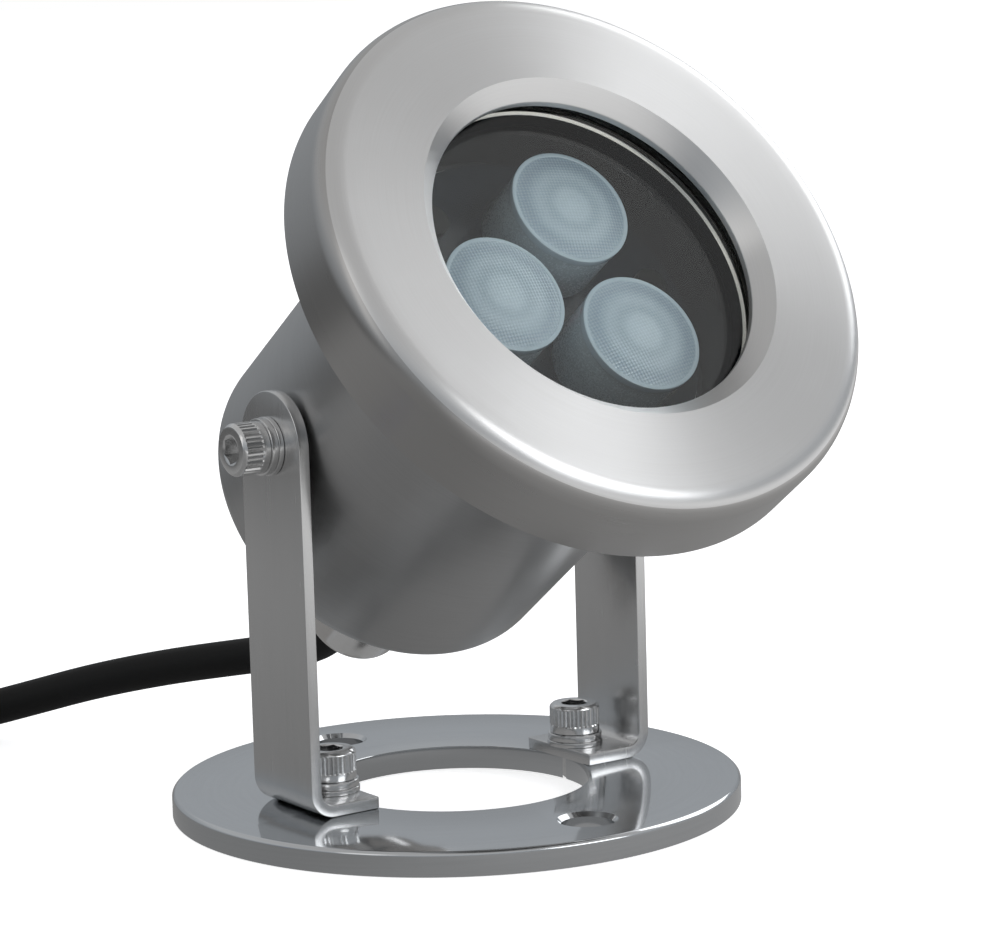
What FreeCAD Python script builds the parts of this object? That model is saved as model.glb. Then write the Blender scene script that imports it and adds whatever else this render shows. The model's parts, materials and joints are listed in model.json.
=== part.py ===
"""Underwater pool light: a stainless spot lamp that tilts between two upright arms on a round base plate.

Units are millimetres. +Z is up and the origin is the centre of the base plate's underside. The lamp looks
towards -Y. The head's pieces are modelled upright, with +Z along the lamp's axis and the tilt pivot at zero,
and are then leaned back to the angle at which the lamp rests. Run it to write one STEP file per piece.
"""

import FreeCAD, Part
import math
import os

from FreeCAD import Placement, Rotation, Vector

# --- base plate -----------------------------------------------------------------------------------
base_diameter = 95.0
base_thickness = 4.0
base_edge_bevel = 0.5
centre_hole_diameter = 44.7
anchor_edge_distance = 11.0
anchor_hole_diameter = 8.5
anchor_hole_bevel = 0.7

# --- arms, bent from strip ------------------------------------------------------------------------
arm_side_gap = 0.6
arm_thickness = 2.0
arm_width = 17.6
arm_bend_inner_radius = 2.4
foot_length = 12.8
pivot_height = 63.7

# --- M5 socket screws and their washers -----------------------------------------------------------
screw_diameter = 5.0
screw_head_diameter = 8.5
screw_head_height = 5.0
screw_socket_flats = 4.0
screw_socket_depth = 2.6
screw_head_bevel = 0.4
base_screw_inset = 9.2
base_screw_tip_recess = 0.1
pivot_screw_tip_gap = 0.25
spring_washer_diameter = 9.2
spring_washer_thickness = 1.2
spring_washer_split = 0.8
flat_washer_diameter = 9.5
flat_washer_thickness = 0.9
washer_bore_clearance = 0.1
foot_hole_clearance = 0.25
pivot_running_clearance = 0.05
pivot_side_gap = 0.05

# --- lamp head, measured along the lamp's axis from the pivot -------------------------------------
rest_elevation = 36.1
bezel_front = 55.0
bezel_depth = 14.1
bezel_land_width = 6.65
bezel_skirt_thickness = 3.85
bezel_front_round = 4.0
bezel_rear_bevel = 0.4
bezel_plate_thickness = 3.8
opening_diameter = 55.5
opening_bevel_width = 2.75
opening_bevel_depth = 2.8
glass_seat_width = 7.1
glass_thickness = 5.0
glass_clearance = 0.2
gasket_thickness_front = 0.8
gasket_thickness_rear = 1.0
front_gasket_setback = 0.85
rear_gasket_setback = 1.6
flange_clearance = 0.15
housing_diameter = 62.8
housing_wall = 2.0
housing_rear = -24.5
housing_rear_wall = 3.0
housing_rear_round = 3.4
ledge_width = 1.5

# --- screws that hold the bezel from behind -------------------------------------------------------
bezel_screw_count = 6
bezel_screw_diameter = 3.0
bezel_screw_length = 9.0
bezel_screw_head_diameter = 5.7
bezel_screw_head_height = 1.5
bezel_screw_socket_flats = 2.0
bezel_screw_socket_depth = 1.1

# --- pivot bosses ---------------------------------------------------------------------------------
boss_diameter = 11.0
boss_reach = 3.5
boss_floor = 1.5

# --- light engine ---------------------------------------------------------------------------------
lens_count = 3
lens_gap = 3.2
lens_first_angle = 67.0
lens_diameter = 20.5
lens_height = 11.0
lens_setback = 3.0
lens_rim_thickness = 1.2
lens_crown = 0.8
lens_cone_clearance = 0.3
lens_cone_foot_diameter = 7.2
lens_cone_foot_lift = 1.6
lens_cavity_diameter = 5.2
lens_cavity_depth = 3.0
holder_inset = 0.25
holder_wall = 0.7
led_board_thickness = 1.6
led_board_clearance = 0.8
led_base_width = 5.0
led_base_thickness = 0.9
led_dome_diameter = 3.6
heat_sink_thickness = 4.0
heat_sink_clearance = 0.05
wire_hole_diameter = 6.4

# --- M3 fasteners inside the head -----------------------------------------------------------------
small_screw_diameter = 3.0
small_screw_head_diameter = 5.5
small_screw_head_height = 2.0
small_hole_clearance = 0.1
board_screw_edge_distance = 6.9
board_screw_length = 5.0
standoff_edge_distance = 7.4
standoff_flats = 5.5
standoff_length = 14.0
standoff_stud_length = 3.5
driver_screw_length = 5.0

# --- driver ---------------------------------------------------------------------------------------
driver_board_clearance = 3.9
driver_board_thickness = 1.6
capacitor_diameter = 8.0
capacitor_height = 10.0
capacitor_places = [(-9.0, 12.0), (1.5, 14.0)]
inductor_width = 10.0
inductor_height = 5.0
inductor_place = (11.5, 3.0)
chip_size = (5.0, 6.0, 1.6)
chip_place = (-12.0, -1.0)
terminal_width = 10.0
terminal_depth = 8.0
terminal_height = 8.0

# --- wires ----------------------------------------------------------------------------------------
led_wire_diameter = 1.6
led_wire_spacing = 3.2
led_wire_foot = 3.0
led_wire_lift = 0.9
core_diameter = 2.0
core_spacing = 2.8

# --- cable gland ----------------------------------------------------------------------------------
gland_offset = 11.1
gland_length = 22.9
gland_thread_diameter = 15.2
gland_shoulder = 1.9
gland_washer_thickness = 1.5
gland_hex_length = 5.5
gland_thread_inside = 7.4
locknut_thickness = 3.5
dome_gap = 0.2
dome_hex_length = 6.5
dome_flats_relief = 0.2
dome_round = 2.6
seal_lip_thickness = 0.95
dome_thread_step = 0.2
dome_thread_length = 7.5
seal_wall = 2.25
seal_start = 2.0
seal_end_recess = 0.3
seal_lip_start = 6.4
cable_bore_clearance = 0.35
cable_stub_inside = 10.5

# --- cable ----------------------------------------------------------------------------------------
cable_diameter = 6.5
cable_first_run = 8.0
floor_clearance = 0.05
# where the cable goes after its first run: x, y and how far it is lifted above lying on the floor
cable_route = [
    (-1.7, 45.9, 15.7),
    (-7.2, 56.0, 13.7),
    (-15.6, 68.6, 11.1),
    (-24.6, 80.2, 7.9),
    (-32.4, 89.0, 4.6),
    (-40.4, 96.6, 1.7),
    (-48.9, 102.4, 0.1),
    (-58.0, 106.3, 0.0),
]
cable_split_after = 5
corner_share = 0.45
coil_turn_radius = 32.5
coil_gap = 0.1
coil_layers = 3
coil_tangent = 20.5
coil_round = 3.0
coil_exit_turn = 0.317
tail_length = 60.0
tail_resting_length = 20.0
stripped_core_length = 24.0
ferrule_length = 9.0
ferrule_diameter = 1.4

# --- derived sizes --------------------------------------------------------------------------------
up = Vector(0, 0, 1)
side = Vector(1, 0, 0)
zero = Vector(0, 0, 0)
screw_radius = screw_diameter / 2
small_screw_radius = small_screw_diameter / 2
cable_radius = cable_diameter / 2
cable_lying = cable_radius + floor_clearance
coil_turn_pitch = cable_diameter + coil_gap
coil_rise = (coil_layers - 1) * coil_turn_pitch
end_drop = cable_lying - ferrule_diameter / 2 - floor_clearance
end_fall = end_drop / (stripped_core_length + ferrule_length)
base_radius = base_diameter / 2
anchor_radius = base_radius - anchor_edge_distance
housing_radius = housing_diameter / 2
bore_radius = housing_radius - housing_wall
lower_bore_radius = bore_radius - ledge_width
glass_radius = bore_radius + glass_seat_width
pocket_radius = glass_radius + glass_clearance
skirt_radius = pocket_radius + bezel_land_width
flange_radius = skirt_radius - flange_clearance
bezel_radius = skirt_radius + bezel_skirt_thickness
opening_radius = opening_diameter / 2
bezel_screw_circle_radius = (pocket_radius + skirt_radius) / 2
bezel_rear = bezel_front - bezel_depth
plate_rear = bezel_front - bezel_plate_thickness
glass_front = plate_rear - gasket_thickness_front
glass_rear = glass_front - glass_thickness
flange_front = glass_rear - gasket_thickness_rear
lens_front = glass_rear - lens_setback
lens_rim_rear = lens_front - lens_rim_thickness
led_board_top = lens_front - lens_height
led_board_rear = led_board_top - led_board_thickness
heat_sink_rear = led_board_rear - heat_sink_thickness
driver_board_front = heat_sink_rear - standoff_length
driver_board_rear = driver_board_front - driver_board_thickness
gland_hex_front = housing_rear - gland_washer_thickness
gland_hex_rear = gland_hex_front - gland_hex_length
gland_end = housing_rear - gland_length
lens_radius = lens_diameter / 2
lens_pitch_radius = (lens_diameter + lens_gap) / (2 * math.sin(math.pi / lens_count))
holder_radius = lens_radius - holder_inset
holder_bore_radius = holder_radius - holder_wall
gland_thread_radius = gland_thread_diameter / 2
gland_flats = gland_thread_diameter + 2 * gland_shoulder
seal_radius = cable_radius + seal_wall
mouth_radius = cable_radius + seal_lip_thickness
arm_inner_x = housing_radius + arm_side_gap
arm_outer_x = arm_inner_x + arm_thickness
base_screw_x = arm_outer_x - base_screw_inset
boss_inner_x = lower_bore_radius - boss_reach
foot_top = base_thickness + arm_thickness
head_place = Placement(Vector(0, 0, pivot_height), Rotation(side, 90.0 - rest_elevation))


def disc(radius, low, high, at=(0.0, 0.0)):
    """An upright cylinder between two heights."""
    return Part.makeCylinder(radius, high - low, Vector(at[0], at[1], low), up)


def tube(outer, inner, low, high, at=(0.0, 0.0)):
    """An upright cylinder with a hole through it."""
    return disc(outer, low, high, at).cut(disc(inner, low, high, at))


def hexagon(flats, low, high, at=(0.0, 0.0)):
    """An upright hexagonal prism, given by its width across flats."""
    corner = flats / math.sqrt(3)
    points = [
        Vector(at[0] + corner * math.cos(math.radians(a)), at[1] + corner * math.sin(math.radians(a)), low)
        for a in range(0, 361, 60)
    ]
    return Part.Face(Part.makePolygon(points)).extrude(Vector(0, 0, high - low))


def turned(outline):
    """A solid turned about the Z axis from an outline of (radius, height) points."""
    points = [Vector(r, 0, h) for r, h in outline]
    points.append(points[0])
    return Part.Face(Part.makePolygon(points)).revolve(zero, up, 360)


def block(width, depth, height, top, at):
    """A box hung under a height, centred on a place."""
    return Part.makeBox(width, depth, height, Vector(at[0] - width / 2, at[1] - depth / 2, top - height))


def polar(radius, degrees):
    """The point at a radius and an angle about the Z axis."""
    return (radius * math.cos(math.radians(degrees)), radius * math.sin(math.radians(degrees)))


def round_edges(solid, radius, chosen):
    """Fillets the circular edges that the test picks."""
    edges = [e for e in solid.Edges if isinstance(e.Curve, Part.Circle) and chosen(e)]
    return solid.makeFillet(radius, edges)


def bevel_edges(solid, width, chosen):
    """Chamfers the circular edges that the test picks."""
    edges = [e for e in solid.Edges if isinstance(e.Curve, Part.Circle) and chosen(e)]
    return solid.makeChamfer(width, edges)


def near(a, b):
    """Whether two lengths are the same to within a hundredth of a millimetre."""
    return abs(a - b) < 0.01


def circle_at(edge, radius, height):
    """Whether an edge is a circle of this radius at this height."""
    return near(edge.Curve.Radius, radius) and near(edge.Curve.Center.z, height)


def group(solids):
    """Separate solids that share one node."""
    return Part.makeCompound(solids)


def save(name, shape):
    """Writes one piece of the stand or the cable."""
    shape.exportStep("parts/" + name + ".step")


def save_in_head(name, shape):
    """Leans a piece of the head back to its rest angle and writes it."""
    leaned = shape.copy()
    leaned.Placement = head_place.multiply(leaned.Placement)
    save(name, leaned)


# --- paths made of straight runs and tangent arcs -------------------------------------------------
def corner_radius(before, corner, after):
    """The largest arc that the two runs at a corner leave room for, and the angle that it turns."""
    turn = (corner - before).getAngle(after - corner)
    shorter = min((corner - before).Length, (after - corner).Length)
    return corner_share * shorter / math.tan(turn / 2), turn


def rounded_path(points):
    """A wire of straight runs joined by tangent arcs through the corners of a route, and the arcs' radii."""
    edges, radii, start = [], [], points[0]
    for before, corner, after in zip(points, points[1:], points[2:]):
        radius, turn = corner_radius(before, corner, after)
        back = (before - corner).normalize()
        ahead = (after - corner).normalize()
        reach = radius * math.tan(turn / 2)
        enter = corner + back * reach
        leave = corner + ahead * reach
        middle = corner + (back + ahead).normalize() * radius * (1 / math.cos(turn / 2) - 1)
        edges.append(Part.LineSegment(start, enter).toShape())
        edges.append(Part.Arc(enter, middle, leave).toShape())
        radii.append(radius)
        start = leave
    edges.append(Part.LineSegment(start, points[-1]).toShape())
    return Part.Wire(edges), radii


def swept(wire, start, heading, diameter):
    """A round tube along a wire."""
    ring = Part.Wire([Part.Circle(start, heading, diameter / 2).toShape()])
    return wire.makePipeShell([ring], True, False)


def rod(start, end, diameter):
    """A straight round rod between two points."""
    return Part.makeCylinder(diameter / 2, (end - start).Length, start, end - start)


# --- fasteners ------------------------------------------------------------------------------------
def socket_screw(length):
    """An M5 socket head screw: its head stands up from zero and its shank hangs down."""
    head = disc(screw_head_diameter / 2, 0, screw_head_height)
    head = bevel_edges(head, screw_head_bevel, lambda e: near(e.Curve.Center.z, screw_head_height))
    head = head.cut(hexagon(screw_socket_flats, screw_head_height - screw_socket_depth, screw_head_height))
    return head.fuse(disc(screw_radius, -length, 0)).removeSplitter()


def spring_washer():
    """A split ring, standing on zero."""
    bore = screw_radius + washer_bore_clearance
    ring = tube(spring_washer_diameter / 2, bore, 0, spring_washer_thickness)
    split = Part.makeBox(spring_washer_diameter, spring_washer_split, spring_washer_thickness)
    return ring.cut(split)


def flat_washer():
    """A plain ring, standing on zero."""
    return tube(flat_washer_diameter / 2, screw_radius + washer_bore_clearance, 0, flat_washer_thickness)


def stack(seat):
    """The flat washer, spring washer and screw heights above the face that they clamp."""
    spring = seat + flat_washer_thickness
    return seat, spring, spring + spring_washer_thickness


def stood_at(shape, x, z):
    """A copy of a shape moved to a place over the X axis."""
    moved = shape.copy()
    moved.translate(Vector(x, 0, z))
    return moved


def laid_at(shape, distance, sign):
    """A copy of an upright shape laid along X, out from the pivot on one side."""
    moved = shape.copy()
    laid = Placement(Vector(sign * distance, 0, 0), Rotation(up, side * sign))
    moved.Placement = laid.multiply(moved.Placement)
    return moved


def small_screw(length, head_low, at, points_down):
    """An M3 pan head screw whose head starts at a height; its shank points down or up."""
    head_high = head_low + small_screw_head_height
    head = disc(small_screw_head_diameter / 2, head_low, head_high, at)
    shank = (head_low - length, head_low) if points_down else (head_high, head_high + length)
    return head.fuse(disc(small_screw_diameter / 2, shank[0], shank[1], at)).removeSplitter()


# --- stand ----------------------------------------------------------------------------------------
def make_base_plate():
    """A round plate with a large centre hole, two anchor holes and two tapped holes for the arms."""
    hole_radius = anchor_hole_diameter / 2
    plate = tube(base_radius, centre_hole_diameter / 2, 0, base_thickness)
    plate = bevel_edges(plate, base_edge_bevel, lambda e: circle_at(e, base_radius, base_thickness))
    for y in (-anchor_radius, anchor_radius):
        plate = plate.cut(disc(hole_radius, 0, base_thickness, (0, y)))
    for x in (-base_screw_x, base_screw_x):
        plate = plate.cut(disc(screw_radius, 0, base_thickness, (x, 0)))
    return bevel_edges(plate, anchor_hole_bevel, lambda e: circle_at(e, hole_radius, base_thickness))


def make_arm(sign):
    """One arm: a strip with a foot turned inwards and a round top about the pivot."""
    outer_bend = arm_bend_inner_radius + arm_thickness
    width = arm_width / 2
    tip = arm_outer_x - foot_length
    top = pivot_height + width
    reach = math.sqrt(0.5)
    bend_x = arm_outer_x - outer_bend
    bend_z = base_thickness + outer_bend

    def at(x, z):
        return Vector(sign * x, -width, z)

    edges = [
        Part.LineSegment(at(tip, base_thickness), at(bend_x, base_thickness)),
        Part.Arc(
            at(bend_x, base_thickness),
            at(bend_x + outer_bend * reach, bend_z - outer_bend * reach),
            at(arm_outer_x, bend_z),
        ),
        Part.LineSegment(at(arm_outer_x, bend_z), at(arm_outer_x, top)),
        Part.LineSegment(at(arm_outer_x, top), at(arm_inner_x, top)),
        Part.LineSegment(at(arm_inner_x, top), at(arm_inner_x, bend_z)),
        Part.Arc(
            at(arm_inner_x, bend_z),
            at(bend_x + arm_bend_inner_radius * reach, bend_z - arm_bend_inner_radius * reach),
            at(bend_x, foot_top),
        ),
        Part.LineSegment(at(bend_x, foot_top), at(tip, foot_top)),
        Part.LineSegment(at(tip, foot_top), at(tip, base_thickness)),
    ]
    strip = Part.Face(Part.Wire([e.toShape() for e in edges])).extrude(Vector(0, arm_width, 0))
    across = Vector(sign * arm_outer_x, 0, 0)
    pivot = Vector(0, 0, pivot_height)
    keep = Part.makeCylinder(width, arm_outer_x, pivot, across)
    below = Part.makeBox(2 * arm_outer_x, arm_width, pivot_height, Vector(-arm_outer_x, -width, 0))
    strip = strip.common(keep.fuse(below))
    strip = strip.cut(Part.makeCylinder(screw_radius + pivot_running_clearance, arm_outer_x, pivot, across))
    foot_hole = screw_radius + foot_hole_clearance
    return strip.cut(disc(foot_hole, base_thickness, foot_top, (sign * base_screw_x, 0))).removeSplitter()


def make_stand():
    """The base plate, both arms and the screws that hold them down."""
    save("base_plate", make_base_plate())
    save("left_arm", make_arm(-1))
    save("right_arm", make_arm(1))
    flat, spring, head = stack(foot_top)
    places = (-base_screw_x, base_screw_x)
    length = head - base_screw_tip_recess
    save("base_flat_washers", group([stood_at(flat_washer(), x, flat) for x in places]))
    save("base_spring_washers", group([stood_at(spring_washer(), x, spring) for x in places]))
    save("base_screws", group([stood_at(socket_screw(length), x, head) for x in places]))


# --- head: pivot ----------------------------------------------------------------------------------
def boss_blank(sign):
    """The outside of one pivot boss, from inside the housing to just short of the arm."""
    face = arm_inner_x - pivot_side_gap
    return Part.makeCylinder(boss_diameter / 2, face - boss_inner_x, side * sign * boss_inner_x, side * sign)


def make_pivot():
    """The bosses in the housing's sides, and the screws and washers that turn with the head."""
    flat, spring, head = stack(arm_outer_x + pivot_side_gap)
    deepest = boss_inner_x + boss_floor
    length = head - deepest - pivot_screw_tip_gap
    bosses, flats, springs, screws = [], [], [], []
    for sign in (-1, 1):
        drilled = Part.makeCylinder(screw_radius, arm_outer_x - deepest, side * sign * deepest, side * sign)
        bosses.append(boss_blank(sign).cut(drilled))
        flats.append(laid_at(flat_washer(), flat, sign))
        springs.append(laid_at(spring_washer(), spring, sign))
        screws.append(laid_at(socket_screw(length), head, sign))
    save_in_head("pivot_bosses", group(bosses))
    save_in_head("pivot_flat_washers", group(flats))
    save_in_head("pivot_spring_washers", group(springs))
    save_in_head("pivot_screws", group(screws))


# --- head: shell, glass and seals -----------------------------------------------------------------
def bezel_screw_places():
    """Where the bezel's screws stand, clear of the arms."""
    step = 360 / bezel_screw_count
    return [polar(bezel_screw_circle_radius, step * (k + 0.5)) for k in range(bezel_screw_count)]


def bezel_screw(at):
    """A countersunk screw whose head is flush with the flange's rear face."""
    low, high = bezel_rear, bezel_rear + bezel_screw_head_height
    cone = Part.makeCone(
        bezel_screw_head_diameter / 2, bezel_screw_diameter / 2, high - low, Vector(at[0], at[1], low), up
    )
    return cone.fuse(disc(bezel_screw_diameter / 2, high, low + bezel_screw_length, at)).removeSplitter()


def make_housing():
    """The deep cup that holds the light engine, with a ledge inside for the heat sink."""
    rear_inside = housing_rear + housing_rear_wall
    cup = turned([
        (0, housing_rear),
        (housing_radius, housing_rear),
        (housing_radius, flange_front),
        (bore_radius, flange_front),
        (bore_radius, heat_sink_rear),
        (lower_bore_radius, heat_sink_rear),
        (lower_bore_radius, rear_inside),
        (0, rear_inside),
    ])
    cup = round_edges(cup, housing_rear_round, lambda e: circle_at(e, housing_radius, housing_rear))
    for sign in (-1, 1):
        cup = cup.cut(boss_blank(sign))
    return cup.cut(disc(gland_thread_radius, housing_rear, rear_inside, (0, -gland_offset)))


def make_flange():
    """The ring welded round the housing's mouth, which the bezel's screws pass through."""
    ring = tube(flange_radius, housing_radius, bezel_rear, flange_front)
    for at in bezel_screw_places():
        ring = ring.cut(bezel_screw(at))
    return ring


def make_bezel():
    """The heavy front ring: a bevelled opening, a glass pocket and a skirt round the flange."""
    ring = turned([
        (opening_radius, plate_rear),
        (opening_radius, bezel_front - opening_bevel_depth),
        (opening_radius + opening_bevel_width, bezel_front),
        (bezel_radius, bezel_front),
        (bezel_radius, bezel_rear),
        (skirt_radius, bezel_rear),
        (skirt_radius, flange_front),
        (pocket_radius, flange_front),
        (pocket_radius, plate_rear),
    ])
    ring = round_edges(ring, bezel_front_round, lambda e: circle_at(e, bezel_radius, bezel_front))
    ring = bevel_edges(ring, bezel_rear_bevel, lambda e: circle_at(e, bezel_radius, bezel_rear))
    for at in bezel_screw_places():
        ring = ring.cut(disc(bezel_screw_diameter / 2, bezel_rear, bezel_rear + bezel_screw_length, at))
    return ring


def make_shell():
    """The housing and its flange, the bezel, the glass between its two gaskets, and the bezel's screws."""
    front_bore = opening_radius + front_gasket_setback
    rear_bore = bore_radius + rear_gasket_setback
    socket_top = bezel_rear + bezel_screw_socket_depth
    screws = [
        bezel_screw(at).cut(hexagon(bezel_screw_socket_flats, bezel_rear, socket_top, at))
        for at in bezel_screw_places()
    ]
    save_in_head("lamp_housing", make_housing())
    save_in_head("housing_flange", make_flange())
    save_in_head("front_bezel", make_bezel())
    save_in_head("front_gasket", tube(glass_radius, front_bore, glass_front, plate_rear))
    save_in_head("front_glass", disc(glass_radius, glass_rear, glass_front))
    save_in_head("rear_gasket", tube(glass_radius, rear_bore, flange_front, glass_rear))
    save_in_head("bezel_screws", group(screws))


# --- head: light engine ---------------------------------------------------------------------------
def lens_places():
    """The centres of the lenses, evenly spaced on their circle."""
    return [polar(lens_pitch_radius, lens_first_angle + 360 / lens_count * k) for k in range(lens_count)]


def board_screw_places():
    """The LED board's screws, each midway between two lenses."""
    first = lens_first_angle + 180 / lens_count
    radius = bore_radius - board_screw_edge_distance
    return [polar(radius, first + 360 / lens_count * k) for k in range(lens_count)]


def standoff_places():
    """The driver's standoffs, a quarter step on from the board screws."""
    first = lens_first_angle + 90 / lens_count
    radius = lower_bore_radius - standoff_edge_distance
    return [polar(radius, first + 360 / lens_count * k) for k in range(lens_count)]


def make_lens(at):
    """A collimating lens: a crowned front rim on a cone, with a cavity for the LED below."""
    foot = led_board_top + lens_cone_foot_lift
    rim = disc(lens_radius, lens_rim_rear, lens_front, at)
    cone = Part.makeCone(
        lens_cone_foot_diameter / 2,
        holder_bore_radius - lens_cone_clearance,
        lens_rim_rear - foot,
        Vector(at[0], at[1], foot),
        up,
    )
    ball = (lens_radius**2 + lens_crown**2) / (2 * lens_crown)
    sphere = Part.makeSphere(ball, Vector(at[0], at[1], lens_front + lens_crown - ball))
    crown = disc(lens_radius, lens_rim_rear, lens_front + lens_crown, at).common(sphere)
    cavity = disc(lens_cavity_diameter / 2, foot, foot + lens_cavity_depth, at)
    return rim.fuse([crown, cone]).cut(cavity).removeSplitter()


def make_led(at):
    """An LED: a square base with a domed top."""
    base_top = led_board_top + led_base_thickness
    radius = led_dome_diameter / 2
    base = block(led_base_width, led_base_width, led_base_thickness, base_top, at)
    dome = Part.makeSphere(radius, Vector(at[0], at[1], base_top))
    return base.fuse(dome.common(disc(radius, base_top, base_top + radius, at))).removeSplitter()


def make_light_engine():
    """The heat sink, the LED board, and each LED with its holder and lens."""
    loose = small_screw_radius + small_hole_clearance
    wire_hole = wire_hole_diameter / 2
    board = disc(bore_radius - led_board_clearance, led_board_rear, led_board_top)
    sink = disc(bore_radius - heat_sink_clearance, heat_sink_rear, led_board_rear)
    board = board.cut(disc(wire_hole, led_board_rear, led_board_top))
    sink = sink.cut(disc(wire_hole, heat_sink_rear, led_board_rear))
    for at in board_screw_places():
        board = board.cut(disc(loose, led_board_rear, led_board_top, at))
        sink = sink.cut(disc(small_screw_radius, heat_sink_rear, led_board_rear, at))
    for at in standoff_places():
        sink = sink.cut(disc(small_screw_radius, heat_sink_rear, heat_sink_rear + standoff_stud_length, at))
    holders = [
        tube(holder_radius, holder_bore_radius, led_board_top, lens_rim_rear, at) for at in lens_places()
    ]
    screws = [small_screw(board_screw_length, led_board_top, at, True) for at in board_screw_places()]
    save_in_head("heat_sink", sink)
    save_in_head("led_board", board)
    save_in_head("board_screws", group(screws))
    save_in_head("leds", group([make_led(at) for at in lens_places()]))
    save_in_head("lens_holders", group(holders))
    save_in_head("lenses", group([make_lens(at) for at in lens_places()]))


# --- head: driver and wiring ----------------------------------------------------------------------
def make_standoff(at):
    """A hexagonal spacer with a stud above and a tapped hole below."""
    spacer = hexagon(standoff_flats, driver_board_front, heat_sink_rear, at)
    spacer = spacer.fuse(disc(small_screw_radius, heat_sink_rear, heat_sink_rear + standoff_stud_length, at))
    hole_top = driver_board_rear + driver_screw_length
    return spacer.cut(disc(small_screw_radius, driver_board_front, hole_top, at))


def make_led_wire(sign):
    """A wire from the driver board up through the heat sink, bent over onto the LED board."""
    x = sign * led_wire_spacing / 2
    top = led_board_top + led_wire_lift
    low = Vector(x, 0, driver_board_front)
    corner = Vector(x, 0, top)
    end = corner + Vector(0, sign * led_wire_foot, 0)
    return swept(rounded_path([low, corner, end])[0], low, up, led_wire_diameter)


def make_driver():
    """The driver board under its standoffs, the parts soldered to it, and the wires to and from it."""
    loose = small_screw_radius + small_hole_clearance
    board = disc(lower_bore_radius - driver_board_clearance, driver_board_rear, driver_board_front)
    for at in standoff_places():
        board = board.cut(disc(loose, driver_board_rear, driver_board_front, at))
    head_low = driver_board_rear - small_screw_head_height
    screws = [small_screw(driver_screw_length, head_low, at, False) for at in standoff_places()]
    capacitors = [
        disc(capacitor_diameter / 2, driver_board_rear - capacitor_height, driver_board_rear, at)
        for at in capacitor_places
    ]
    terminal_place = (0, -gland_offset)
    terminal_low = driver_board_rear - terminal_height
    cores_low = housing_rear + cable_stub_inside
    save_in_head("driver_board", board)
    save_in_head("driver_standoffs", group([make_standoff(at) for at in standoff_places()]))
    save_in_head("driver_screws", group(screws))
    save_in_head("driver_capacitors", group(capacitors))
    inductor = block(inductor_width, inductor_width, inductor_height, driver_board_rear, inductor_place)
    terminal = block(terminal_width, terminal_depth, terminal_height, driver_board_rear, terminal_place)
    save_in_head("driver_inductor", inductor)
    save_in_head("driver_chip", block(*chip_size, driver_board_rear, chip_place))
    save_in_head("terminal_block", terminal)
    save_in_head("led_wire_red", make_led_wire(1))
    save_in_head("led_wire_black", make_led_wire(-1))
    for name, sign in (("core_brown", -1), ("core_blue", 1)):
        at = (sign * core_spacing / 2, -gland_offset)
        save_in_head(name, disc(core_diameter / 2, cores_low, terminal_low, at))


# --- head: cable gland ----------------------------------------------------------------------------
def at_gland(shape):
    """Moves a shape made on the lamp's axis to the gland's axis."""
    shape.translate(Vector(0, -gland_offset, 0))
    return shape


def make_gland():
    """The gland's washer, body, locknut, seal and dome nut, and the cable that they grip."""
    bore = cable_radius + cable_bore_clearance
    rear_inside = housing_rear + housing_rear_wall
    thread_rear = gland_hex_rear - dome_thread_length
    seal_front = gland_hex_rear - seal_start
    inner_thread = gland_thread_radius - dome_thread_step
    dome_front = gland_hex_rear - dome_gap
    seal_step = gland_end + seal_lip_start

    body = disc(gland_thread_radius, gland_hex_front, housing_rear + gland_thread_inside)
    body = body.fuse([
        hexagon(gland_flats, gland_hex_rear, gland_hex_front),
        disc(inner_thread, thread_rear, gland_hex_rear),
    ])
    body = body.cut(disc(bore, thread_rear, housing_rear + gland_thread_inside))
    body = body.cut(disc(seal_radius, thread_rear, seal_front)).removeSplitter()

    dome = disc(gland_flats / 2 - dome_flats_relief, gland_end, dome_front)
    dome = round_edges(dome, dome_round, lambda e: near(e.Curve.Center.z, gland_end))
    dome = dome.fuse(hexagon(gland_flats, dome_front - dome_hex_length, dome_front))
    dome = dome.cut(disc(inner_thread, thread_rear, dome_front))
    dome = dome.cut(disc(seal_radius, seal_step, thread_rear))
    dome = dome.cut(disc(mouth_radius, gland_end, seal_step)).removeSplitter()

    lip = tube(mouth_radius, cable_radius, gland_end + seal_end_recess, seal_step)
    seal = tube(seal_radius, cable_radius, seal_step, seal_front).fuse(lip).removeSplitter()
    locknut = hexagon(gland_flats, rear_inside, rear_inside + locknut_thickness)
    locknut = locknut.cut(disc(gland_thread_radius, rear_inside, rear_inside + locknut_thickness))
    washer = tube(gland_flats / 2, gland_thread_radius, gland_hex_front, housing_rear)

    save_in_head("gland_body", at_gland(body))
    save_in_head("gland_dome_nut", at_gland(dome))
    save_in_head("gland_seal", at_gland(seal))
    save_in_head("gland_locknut", at_gland(locknut))
    save_in_head("gland_washer", at_gland(washer))
    save_in_head("cable_inlet", at_gland(disc(cable_radius, gland_end, housing_rear + cable_stub_inside)))


# --- free cable -----------------------------------------------------------------------------------
def gland_exit():
    """Where the cable leaves the gland, and its direction there."""
    return head_place.multVec(Vector(0, -gland_offset, gland_end)), head_place.Rotation.multVec(-up)


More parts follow.
